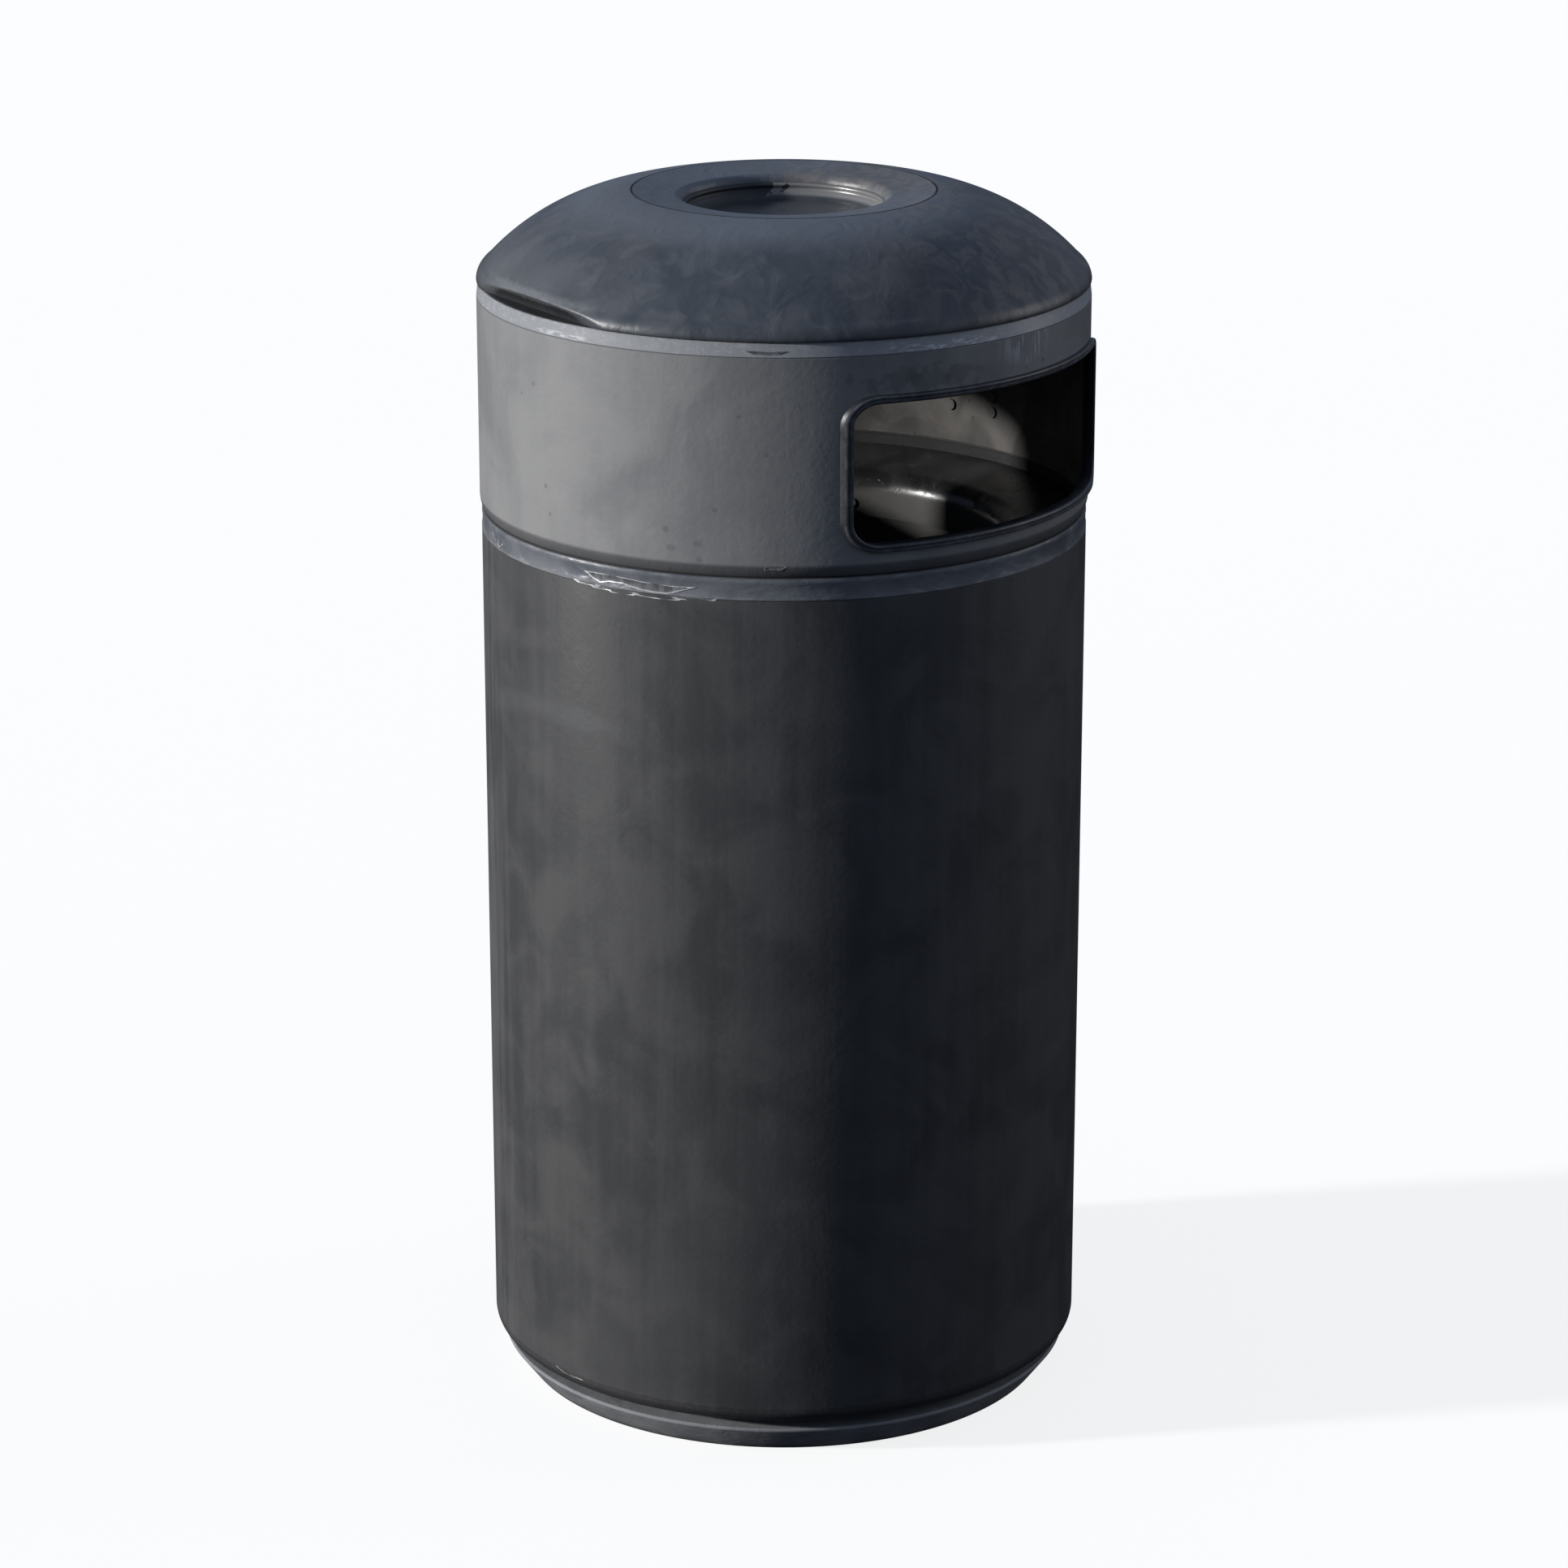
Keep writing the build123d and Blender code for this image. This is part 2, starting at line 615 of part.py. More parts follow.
# ================================================================ the liner
LINER_RIVETS = [(22.5 + 45 * n, LINER_RIVET_Z) for n in range(8)]
neck_outer = LINER_R + RIM_SHEET
with BuildPart() as liner_rim:
    with BuildSketch(Plane.XZ):
        with BuildLine():
            Polyline((RIM_R, RIM_TOP - RIM_SHEET), (RIM_R, RIM_TOP), (264, RIM_TOP), (224, RIM_TOP - 10.8))
            ThreePointArc((224, RIM_TOP - 10.8), (211, RIM_TOP - 17.5), (LINER_R, RIM_TOP - 30))
            Polyline(
                (LINER_R, RIM_TOP - 30),
                (LINER_R, LINER_TOP - 25),
                (neck_outer, LINER_TOP - 25),
                (neck_outer, RIM_TOP - 30),
            )
            ThreePointArc((neck_outer, RIM_TOP - 30), (213.3, RIM_TOP - 19.8), (225, RIM_TOP - 13.8))
            Polyline((225, RIM_TOP - 13.8), (264.5, RIM_TOP - RIM_SHEET), (RIM_R, RIM_TOP - RIM_SHEET))
        make_face()
    revolve(axis=Axis.Z)
    with BuildSketch(Plane.XY.offset(LINER_TOP + 10)):
        with Locations((LOCK_NOTCH_X - 30, 0)):
            Rectangle(60, LOCK_NOTCH)
    extrude(amount=30, mode=Mode.SUBTRACT)
    with Locations(*[radial(LINER_R, a, z) for a, z in LINER_RIVETS]):
        Cylinder(2.6, 20, mode=Mode.SUBTRACT)
liner_rim.part.label = "liner_rim"

shell_inner = neck_outer + 0.2
liner_wall = ring(shell_inner, shell_inner + 3, LINER_BOTTOM, LINER_TOP)
with BuildPart() as liner_shell:
    add(liner_wall)
    with Locations(*[radial(LINER_R, a, z) for a, z in LINER_RIVETS]):
        Cylinder(2.6, 20, mode=Mode.SUBTRACT)
liner_shell.part.label = "liner_shell"

with BuildPart() as liner_floor:
    with BuildSketch(Plane.XY.offset(LINER_BOTTOM)):
        Circle(shell_inner - 0.1)
        with PolarLocations(60, 4, start_angle=45):
            Circle(5, mode=Mode.SUBTRACT)
    extrude(amount=3)
liner_floor.part.label = "liner_floor"

with BuildPart() as liner_rivets:
    with Locations(*[radial(LINER_R - 2, a, z) for a, z in LINER_RIVETS]):
        Cylinder(2.5, 9, align=(Align.CENTER, Align.CENTER, Align.MIN))
        Cylinder(4.5, 1.9, align=(Align.CENTER, Align.CENTER, Align.MIN))
    with Locations(*[radial(shell_inner + 3.1, a, z) for a, z in LINER_RIVETS]):
        Cylinder(4.5, 1.6, align=(Align.CENTER, Align.CENTER, Align.MIN))
liner_rivets.part.label = "liner_rivets"

# Pivot lugs stand on the rim's slope, two for each drop handle
with BuildPart() as handle_lugs:
    for x in (-48, 44):
        with BuildSketch(Plane.YZ.offset(x)):
            for side in (-1, 1):
                with BuildLine():
                    Polyline(
                        (side * (HANDLE_Y - 7), HANDLE_Z - 9.6),
                        (side * (HANDLE_Y + 7), HANDLE_Z - 5.9),
                        (side * (HANDLE_Y + 5), HANDLE_Z + 5.5),
                        (side * (HANDLE_Y - 5), HANDLE_Z + 5.5),
                        close=True,
                    )
                make_face()
            with Locations((-HANDLE_Y, HANDLE_Z), (HANDLE_Y, HANDLE_Z)):
                Circle(ROD_R + RUNNING_FIT, mode=Mode.SUBTRACT)
        extrude(amount=4)
handle_lugs.part.label = "handle_lugs"

# Drop handles: bent rod, folded outward over the rim
handles = []
for side, name in ((-1, "liner_handle_front"), (1, "liner_handle_rear")):
    with BuildPart() as liner_handle:
        with BuildLine() as route:
            FilletPolyline(
                (-51, side * HANDLE_Y, HANDLE_Z),
                (-37, side * HANDLE_Y, HANDLE_Z),
                (-37, side * (HANDLE_Y + 34), HANDLE_Z + 6.5),
                (37, side * (HANDLE_Y + 34), HANDLE_Z + 6.5),
                (37, side * HANDLE_Y, HANDLE_Z),
                (51, side * HANDLE_Y, HANDLE_Z),
                radius=6,
            )
        with BuildSketch(Plane(origin=route.line @ 0, z_dir=route.line % 0)):
            Circle(ROD_R)
        sweep()
    liner_handle.part.label = name
    handles.append(liner_handle)

# ================================================================ files
pieces = [
    base_plate, plinth_skirt, plinth_neck, body_floor, body_shell, body_collar, hood_seal,
    liner_brackets, lock_keeper, hinge_lower_leaf, hinge_lower_rivets, hinge_pin,
    hood_shell, hood_top_ring, lid_dome, lid_screws, *trims, hinge_upper_leaf,
    hinge_upper_rivets, lock_bracket, lock_nuts, ash_tray, ash_dish_ring, ash_dish_wall,
    ash_dish_floor, lock_barrel, lock_cam, cam_nut,
    liner_shell, liner_floor, liner_rim, liner_rivets, handle_lugs, *handles,
]
os.makedirs("parts", exist_ok=True)
for piece in pieces:
    export_step(piece.part, f"parts/{piece.part.label}.step")
    print(piece.part.label, len(piece.part.solids()), round(piece.part.volume / 1000, 1), "cm3")
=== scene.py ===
# %% [markdown]
# # A round street litter bin
# The bin is a painted steel drum with a hooded top: a domed lid with a lift-out ash tray, two litter
# apertures with dark trims, a worn band where the hood closes on the body, and a splayed plinth.
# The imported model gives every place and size, and this script builds the surfaces that are looked at.

# %% Load the frame
import json
from math import atan2, cos, hypot, pi, radians, sin, sqrt

import bmesh
import bpy
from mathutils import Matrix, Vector


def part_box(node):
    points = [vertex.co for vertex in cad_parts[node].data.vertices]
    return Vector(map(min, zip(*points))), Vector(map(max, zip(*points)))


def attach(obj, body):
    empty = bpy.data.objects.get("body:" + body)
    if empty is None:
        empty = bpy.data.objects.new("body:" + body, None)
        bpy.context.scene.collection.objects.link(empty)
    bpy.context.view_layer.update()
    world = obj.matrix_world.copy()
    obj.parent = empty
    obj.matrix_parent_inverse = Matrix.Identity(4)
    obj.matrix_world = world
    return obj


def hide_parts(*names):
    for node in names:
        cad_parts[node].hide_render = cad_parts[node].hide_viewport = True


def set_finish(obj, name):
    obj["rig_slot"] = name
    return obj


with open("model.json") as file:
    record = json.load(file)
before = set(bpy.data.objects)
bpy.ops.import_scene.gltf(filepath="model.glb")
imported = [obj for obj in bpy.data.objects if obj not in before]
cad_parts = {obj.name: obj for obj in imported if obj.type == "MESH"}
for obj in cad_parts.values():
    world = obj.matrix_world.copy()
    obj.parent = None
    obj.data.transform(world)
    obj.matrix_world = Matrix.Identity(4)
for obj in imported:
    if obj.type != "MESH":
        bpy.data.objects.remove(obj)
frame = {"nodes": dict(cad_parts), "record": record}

for start_object in ("Cube", "Light", "Camera"):
    if start_object in bpy.data.objects and start_object not in frame["nodes"]:
        bpy.data.objects.remove(bpy.data.objects[start_object])
bpy.ops.object.select_all(action="DESELECT")
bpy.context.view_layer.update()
MM = 0.001

# %% [markdown]
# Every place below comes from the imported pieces, so the driving radii and heights are read once here.
# Angles are compass positions on the bin, measured from the side that faces the camera, and they
# grow to the right. FACING is where that side lies in the frame.

# %% Read the driving sizes
FACING = radians(-139)
HOOD_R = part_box("hood_shell")[1].x
HOOD_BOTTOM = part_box("hood_shell")[0].z
HOOD_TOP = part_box("hood_shell")[1].z
BODY_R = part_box("body_collar")[1].x
BODY_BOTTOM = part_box("body_shell")[0].z
BAND_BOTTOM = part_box("body_shell")[1].z
BAND_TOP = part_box("body_collar")[1].z
TRAY_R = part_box("ash_tray")[1].x
TRAY_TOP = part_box("ash_tray")[1].z
RIM_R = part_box("liner_rim")[1].y
RIM_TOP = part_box("liner_rim")[1].z
SKIRT_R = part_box("plinth_skirt")[1].x
SKIRT_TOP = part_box("plinth_skirt")[1].z
print("hood radius", round(HOOD_R, 4), "lid starts at", round(HOOD_TOP, 4))

# %% [markdown]
# The camera stands where the bin is seen a little from above, far enough away that the drum's sides
# look nearly parallel. A long lens keeps it in frame.

# %% Camera
LENS = 116.4
CAMERA_PLACE = (-3.4245, -2.977, 2.008)
AIM = Vector((0, 0, 0.565))
camera_data = bpy.data.cameras.new("street_camera")
camera_data.lens = LENS
camera = bpy.data.objects.new("street_camera", camera_data)
bpy.context.scene.collection.objects.link(camera)
camera.location = CAMERA_PLACE
camera.rotation_euler = (AIM - camera.location).to_track_quat("-Z", "Y").to_euler()
bpy.context.scene.camera = camera
bpy.context.scene.view_settings.view_transform = "Standard"
print("camera", [round(v, 2) for v in camera.location])

# %% [markdown]
# Light: one soft low key from the left, a faint fill from the right and a dim bluish dome above.
# The low key rakes across the dents and passes through the rear aperture into the hood. A sun lamp
# with a wide angle gives the soft edge of a large studio lamp far away.


# %% Lights
def lamp(name, position, elevation, strength, width, colour):
    """A soft far lamp at a compass position and an elevation, in degrees."""
    data = bpy.data.lights.new(name, "SUN")
    data.energy = strength
    data.angle = radians(width)
    data.color = colour
    light = bpy.data.objects.new(name, data)
    bpy.context.scene.collection.objects.link(light)
    turn = FACING + radians(position)
    rise = radians(elevation)
    towards = Vector((cos(turn) * cos(rise), sin(turn) * cos(rise), sin(rise)))
    light.rotation_euler = (-towards).to_track_quat("-Z", "Y").to_euler()
    return light


lamp("key", position=-80, elevation=14.5, strength=3.65, width=3.5, colour=(1.0, 0.985, 0.965))
lamp("fill", position=105, elevation=16, strength=0.34, width=30, colour=(1.0, 0.96, 0.93))

# %% [markdown]
# The dome is brighter above the horizon than below it, so that faces that look up are lit blue from
# above and the drum's sides only half as much. The camera sees it as plain pale paper.

# %% Dome
world = bpy.data.worlds.new("studio_dome")
bpy.context.scene.world = world
world.use_nodes = True
sky = world.node_tree
sky.nodes.clear()
direction = sky.nodes.new("ShaderNodeTexCoord")
height = sky.nodes.new("ShaderNodeSeparateXYZ")
rise = sky.nodes.new("ShaderNodeValToRGB")
rise.color_ramp.elements[0].position = 0.46
rise.color_ramp.elements[0].color = (0.016, 0.017, 0.020, 1)
rise.color_ramp.elements[1].position = 0.56
rise.color_ramp.elements[1].color = (0.145, 0.180, 0.250, 1)
lift = sky.nodes.new("ShaderNodeMath")
lift.operation = "MULTIPLY_ADD"
lift.inputs[1].default_value = 0.5
lift.inputs[2].default_value = 0.5
dome_light = sky.nodes.new("ShaderNodeBackground")
paper = sky.nodes.new("ShaderNodeBackground")
paper.inputs["Color"].default_value = (0.93, 0.93, 0.93, 1)
seen = sky.nodes.new("ShaderNodeLightPath")
choice = sky.nodes.new("ShaderNodeMixShader")
sky_output = sky.nodes.new("ShaderNodeOutputWorld")
for giver, output, taker, entry in (
    (direction, "Generated", height, 0),
    (height, "Z", lift, 0),
    (lift, 0, rise, "Fac"),
    (rise, "Color", dome_light, "Color"),
    (seen, "Is Camera Ray", choice, "Fac"),
    (dome_light, 0, choice, 1),
    (paper, 0, choice, 2),
    (choice, 0, sky_output, "Surface"),
):
    sky.links.new(giver.outputs[output], taker.inputs[entry])
print("dome and two lamps")

# %% [markdown]
# Shader maths reads like arithmetic with a small class that wraps a socket: each operator adds one
# Math node. A Recipe is one material and the one place where its nodes are added.


# %% Shader arithmetic
class Number:
    """A socket that is used like a number. Each operator adds a Math node to its recipe."""

    def __init__(self, recipe, socket):
        self.recipe = recipe
        self.socket = socket

    def calc(self, operation, *values):
        node = self.recipe.add("ShaderNodeMath", {"operation": operation}, dict(enumerate(values)))
        return Number(self.recipe, node.outputs[0])

    def both(operation):
        """The methods for number-first and number-last use of one operation."""
        return (
            lambda self, other: self.calc(operation, self, other),
            lambda self, other: self.calc(operation, other, self),
        )

    __add__, __radd__ = both("ADD")
    __sub__, __rsub__ = both("SUBTRACT")
    __mul__, __rmul__ = both("MULTIPLY")
    __truediv__, __rtruediv__ = both("DIVIDE")
    __pow__, __rpow__ = both("POWER")
    most, _ = both("MAXIMUM")

    def __abs__(self):
        return self.calc("ABSOLUTE", self)


class Recipe:
    """One material. Its nodes are added by one method, settings first and then sockets."""

    def __init__(self, name):
        self.material = bpy.data.materials.new(name)
        self.material.use_nodes = True
        self.tree = self.material.node_tree
        self.shader = self.tree.nodes["Principled BSDF"]
        self.place = self.add("ShaderNodeTexCoord").outputs["Object"]
        self.known = {}

    def add(self, kind, settings=None, sockets=None):
        """Adds a node, sets its settings, then gives its sockets values or links."""
        node = self.tree.nodes.new(kind)
        for name, value in (settings or {}).items():
            setattr(node, name, value)
        for name, value in (sockets or {}).items():
            self.feed(node.inputs[name], value)
        return node

    def feed(self, socket, value):
        """Links a Number or a socket to this input, or sets the plain value on it."""
        if isinstance(value, Number):
            value = value.socket
        if isinstance(value, bpy.types.NodeSocket):
            self.tree.links.new(value, socket)
        elif hasattr(value, "__len__") and socket.type == "RGBA":
            socket.default_value = (*value[:3], 1)
        else:
            socket.default_value = value

    def number(self, kind, output, settings=None, sockets=None):
        return Number(self, self.add(kind, settings, sockets).outputs[output])

    def noise(self, size, detail=4, stretch=(1, 1, 1), warp=0, shift=(0, 0, 0)):
        """Cloudy noise whose lumps are about size metres; stretch below 1 draws them out."""
        moved = self.add("ShaderNodeMapping", None, {0: self.place, "Location": shift, "Scale": stretch})
        sockets = {"Vector": moved.outputs[0], "Scale": 1 / size, "Detail": detail, "Distortion": warp}
        return self.number("ShaderNodeTexNoise", 0, None, sockets)

    def cells(self, size, shift=(0, 0, 0)):
        """Distance from the middle of Voronoi cells that are about size metres across."""
        moved = self.add("ShaderNodeMapping", None, {0: self.place, "Location": shift})
        sockets = {"Vector": moved.outputs[0], "Scale": 1 / size}
        return self.number("ShaderNodeTexVoronoi", "Distance", None, sockets)

    def ramp(self, value, low, high):
        """0 below low and 1 above high, with a soft S between them. low may be the larger one."""
        settings = {"interpolation_type": "SMOOTHSTEP"}
        return self.number("ShaderNodeMapRange", 0, settings, {0: value, 1: low, 2: high})

    def blend(self, factor, first, second):
        """Goes from the first colour to the second."""
        settings = {"data_type": "RGBA"}
        return self.add("ShaderNodeMix", settings, {0: factor, 6: first, 7: second}).outputs[2]

    def polar(self):
        """Radius, angle from the facing side and height of the point, as Numbers."""
        if "polar" not in self.known:
            turned = self.add("ShaderNodeMapping", None, {0: self.place, "Rotation": (0, 0, -FACING)})
            parts = self.add("ShaderNodeSeparateXYZ", None, {0: turned.outputs[0]})
            x, y, z = (Number(self, parts.outputs[n]) for n in range(3))
            self.known["polar"] = ((x * x + y * y) ** 0.5, y.calc("ARCTAN2", y, x), z)
        return self.known["polar"]

    def patch(self, position, height, half_angle, half_height, ragged=None, inner=0.4):
        """1 in the middle of an oval on the drum, in degrees and metres, and 0 outside it."""
        _, angle, z = self.polar()
        across = (angle - radians(position)) / radians(half_angle)
        up = (z - height) / half_height
        distance = (across * across + up * up) ** 0.5
        if ragged is not None:
            distance = distance + ragged
        return self.ramp(distance, 1, inner)

    def finish(self, colour, roughness, bumps=(), metallic=0.0, shine=0.5):
        """Links the surface. bumps are (height in 0 to 1, depth in metres), one after another."""
        self.feed(self.shader.inputs["Base Color"], colour)
        self.feed(self.shader.inputs["Roughness"], roughness)
        self.feed(self.shader.inputs["Metallic"], metallic)
        self.shader.inputs["Specular IOR Level"].default_value = shine
        normal = None
        for height, depth in bumps:
            sockets = {"Height": height, "Distance": depth, "Strength": 1.0}
            if normal is not None:
                sockets["Normal"] = normal
            normal = self.add("ShaderNodeBump", None, sockets).outputs[0]
        if normal is not None:
            self.feed(self.shader.inputs["Normal"], normal)
        return self.material


print("shader arithmetic ready")

# %% [markdown]
# The floor is plain and pale. It is partly lit from inside, so that it stays light under a dim dome,
# and it is hidden from bounced and glossy rays, so that it doesn't brighten the drum from below.

# %% Floor
FLOOR_SIZE = 90
bpy.ops.mesh.primitive_grid_add(size=FLOOR_SIZE, x_subdivisions=6, y_subdivisions=6)
floor = bpy.context.object
floor.name = "studio_floor"
floor_recipe = Recipe("pale_floor")
floor_tone = floor_recipe.blend(floor_recipe.noise(2.5, 2), (0.26, 0.26, 0.26), (0.28, 0.28, 0.28))
floor_recipe.shader.inputs["Emission Color"].default_value = (1, 1, 1, 1)
floor_recipe.shader.inputs["Emission Strength"].default_value = 0.83
floor.data.materials.append(floor_recipe.finish(floor_tone, 0.9))
floor.visible_diffuse = False
floor.visible_glossy = False
print("floor", FLOOR_SIZE, "m")

# %% [markdown]
# Most of the bin is spun, as its sheet metal really is. An outline is drawn as a chain of edges from
# one vertex, closed on itself and spun about the axis. The doubles where the spin meets itself are
# merged before the normals are made to face outward.


# %% Spinning helper
STEPS = 256


def arc(start, via, end, count):
    """Points on the circle through three points, after start and up to end."""
    (ax, ay), (bx, by), (cx, cy) = start, via, end
    d = 2 * (ax * (by - cy) + bx * (cy - ay) + cx * (ay - by))
    sa, sb, sc = ax * ax + ay * ay, bx * bx + by * by, cx * cx + cy * cy
    ux = (sa * (by - cy) + sb * (cy - ay) + sc * (ay - by)) / d
    uy = (sa * (cx - bx) + sb * (ax - cx) + sc * (bx - ax)) / d
    radius = hypot(ax - ux, ay - uy)
    first = atan2(ay - uy, ax - ux)
    turn = (atan2(cy - uy, cx - ux) - first + pi) % (2 * pi) - pi
    return [
        (ux + radius * cos(first + turn * n / count), uy + radius * sin(first + turn * n / count))
        for n in range(1, count + 1)
    ]


def draw_chain(name, points):
    """An object whose mesh is a chain of edges through the points, left in edit mode."""
    bpy.ops.object.select_all(action="DESELECT")
    bpy.ops.mesh.primitive_plane_add(size=0.01, location=points[0])
    bpy.ops.object.transform_apply(location=True, rotation=True, scale=True)
    piece = bpy.context.object
    piece.name = name
    bpy.ops.object.mode_set(mode="EDIT")
    bpy.ops.mesh.select_mode(type="VERT")
    bpy.ops.mesh.select_all(action="SELECT")
    bpy.ops.mesh.merge(type="CENTER")
    for here, there in zip(points, points[1:]):
        step = [b - a for a, b in zip(here, there)]
        bpy.ops.mesh.extrude_vertices_move(TRANSFORM_OT_translate={"value": step})
    return piece


def pick(piece, kind, wanted):
    """Selects only the faces or the edges that pass the test, in edit mode."""
    bpy.ops.mesh.select_mode(type=kind)
    bpy.ops.mesh.select_all(action="DESELECT")
    mesh = bmesh.from_edit_mesh(piece.data)
    for part in mesh.faces if kind == "FACE" else mesh.edges:
        if wanted(part):
            part.select_set(True)
    bmesh.update_edit_mesh(piece.data)


def smooth(piece, angle=35):
    """Smooth shading, with edges sharper than the angle kept crisp."""
    bpy.ops.object.select_all(action="DESELECT")
    piece.select_set(True)
    bpy.context.view_layer.objects.active = piece
    bpy.ops.object.shade_smooth_by_angle(angle=radians(angle))
    return piece


def soften(piece, width, segments=2, angle=40):
    """Rounds the sharp edges of a piece by a real small radius."""
    bevel = piece.modifiers.new("soft_edges", "BEVEL")
    bevel.width = width
    bevel.segments = segments
    bevel.limit_method = "ANGLE"
    bevel.angle_limit = radians(angle)
    bpy.context.view_layer.objects.active = piece
    bpy.ops.object.modifier_apply(modifier=bevel.name)
    return piece


def spin(name, outline, steps=STEPS, closed=True, soft=0.0004):
    """A body of revolution from (radius, height) points in metres."""
    points = [(r, 0, z) for r, z in outline]
    if closed:
        points.append(points[0])
    piece = draw_chain(name, points)
    bpy.ops.mesh.select_all(action="SELECT")
    bpy.ops.mesh.remove_doubles(threshold=1e-6)
    bpy.ops.mesh.spin(steps=steps, angle=2 * pi, center=(0, 0, 0), axis=(0, 0, 1))
    bpy.ops.mesh.select_all(action="SELECT")
    bpy.ops.mesh.remove_doubles(threshold=1e-6)
    bpy.ops.mesh.normals_make_consistent(inside=False)
    bpy.ops.object.mode_set(mode="OBJECT")
    if soft:
        soften(piece, soft)
    return smooth(piece)


def offsets(radius, height, *steps):
    """Outline points from millimetre steps out and up from one point in metres."""
    return [(radius + out * MM, height + up * MM) for out, up in steps]


def hoop(name, node, wall, soft=0):
    """A plain hoop as wide and high as its node, with a wall of that thickness."""
    low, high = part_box(node)
    inner = high.x - wall
    return spin(name, [(inner, low.z), (high.x, low.z), (high.x, high.z), (inner, high.z)], soft=soft)


def cut(piece, cutter):
    """Cuts the cutter's shape out of the piece and removes the cutter."""
    boolean = piece.modifiers.new("cut", "BOOLEAN")
    boolean.object = cutter
    boolean.operation = "DIFFERENCE"
    boolean.solver = "EXACT"
    bpy.context.view_layer.objects.active = piece
    bpy.ops.object.modifier_apply(modifier=boolean.name)
    bpy.data.objects.remove(cutter)
    return piece


def place(piece, body, slot, *nodes):
    """Rides the piece on its body in place of CAD nodes, with the slot of its finish."""
    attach(piece, body)
    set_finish(piece, slot)
    if nodes:
        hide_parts(*nodes)
    print(piece.name, "faces", len(piece.data.polygons), "on", body)
    return piece


# %% [markdown]
# ## Lid
# The lid is one spun dome: a tight curve at its foot, then a wide crown up to the ash tray's seam.
# Its outline runs up the outside, down into the tray's seat, back under the sheet and round the foot
# flange. The rows are close together near the foot, because a dent will be pressed in there.

# %% Lid outline
SHEET = 4 * MM
CROWN_R = TRAY_R + 0.4 * MM
shoulder = (HOOD_R - 7.5 * MM, HOOD_TOP + 14 * MM)
inner_shoulder = (shoulder[0] - 3 * MM, shoulder[1] - 2.8 * MM)
seat_z = TRAY_TOP - 7.3 * MM
seat_bottom = seat_z - 6.5 * MM
flange_top = HOOD_TOP + 5.2 * MM
foot = (HOOD_R, HOOD_TOP)
lid_outside = [(HOOD_R - 0.8 * MM, HOOD_TOP), (HOOD_R - 0.2 * MM, HOOD_TOP + 0.25 * MM)]
lid_outside += arc(foot, (HOOD_R - 1.7 * MM, HOOD_TOP + 7.4 * MM), shoulder, 14)
crown_via = (HOOD_R - 68.4 * MM, HOOD_TOP + 59.6 * MM)
lid_outside += arc(shoulder, crown_via, (CROWN_R, TRAY_TOP - 0.1 * MM), 44)
lid_inside = [
    (CROWN_R, seat_z),
    (CROWN_R - 14.7 * MM, seat_z),
    (CROWN_R - 14.7 * MM, seat_bottom),
    (CROWN_R + 11.3 * MM, seat_bottom),
    (CROWN_R + 11.3 * MM, TRAY_TOP - 9.2 * MM),
]
inner_via = (crown_via[0] - 1.8 * MM, crown_via[1] - 3.6 * MM)
lid_inside += arc(lid_inside[-1], inner_via, inner_shoulder, 24)
foot_via, foot_end = (HOOD_R - 4.9 * MM, HOOD_TOP + 8 * MM), (HOOD_R - 4.4 * MM, flange_top)
lid_inside += arc(inner_shoulder, foot_via, foot_end, 5)
lid_inside += [(HOOD_R - 21 * MM, flange_top), (HOOD_R - 21 * MM, HOOD_TOP)]
LID_STEPS = 384
lid = spin("lid_shell", lid_outside + lid_inside, steps=LID_STEPS, soft=0)

# %% [markdown]
# Something has struck the lid's lower edge on the left and rolled it inward. The blow is like a bar
# laid along the tangent, so each vertex near the foot is drawn in until the outer sheet lies on that
# bar. A smooth minimum, not a plain one, rolls the dent's upper edge over as bent sheet does, and the
# inner vertices follow in proportion, so that the sheet keeps its two sides. A Boolean would leave a
# sharp cut, which sheet metal doesn't have.

# %% Press the dent
DENT_TURN = radians(165)
DENT_R = 20 * MM
DENT_ROLL = 4.0 * MM
STILL_R = 240 * MM


def bar_limit(z):
    """How far out the sheet may stand over the bar at a height."""
    above = z - (HOOD_TOP - 4 * MM)
    if above < DENT_R:
        return HOOD_R + 2 * MM - sqrt(DENT_R ** 2 - above ** 2)
    return HOOD_R + 2 * MM + (above - DENT_R) * 8


def soft_minimum(a, b, roll):
    share = min(max(0.5 + 0.5 * (b - a) / roll, 0), 1)
    return b + (a - b) * share - roll * share * (1 - share)


def sheet_radius(z):
    """The undented lid's outer radius at a height."""
    for (r0, z0), (r1, z1) in zip(lid_outside[2:], lid_outside[3:]):
        if z0 <= z <= z1:
            return r0 + (r1 - r0) * (z - z0) / (z1 - z0)
    return HOOD_R


pressed = 0
dent_out = Vector((cos(DENT_TURN), sin(DENT_TURN)))
for vertex in lid.data.vertices:
    radius = hypot(vertex.co.x, vertex.co.y)
    if vertex.co.z > HOOD_TOP + 30 * MM or radius < STILL_R:
        continue
    facing = (vertex.co.x * dent_out.x + vertex.co.y * dent_out.y) / radius
    if facing < 0.5:
        continue
    outer = sheet_radius(vertex.co.z)
    drawn = soft_minimum(outer * facing, bar_limit(vertex.co.z), DENT_ROLL) / facing
    drawn = min(drawn, outer)
    follow = (drawn - STILL_R) / (outer - STILL_R)
    fresh = STILL_R + (radius - STILL_R) * follow
    if fresh < radius - 1e-6:
        vertex.co.x *= fresh / radius
        vertex.co.y *= fresh / radius
        pressed += 1
smooth(lid, 40)
place(lid, "hood", "lid_paint", "lid_dome")
print("vertices pressed", pressed)

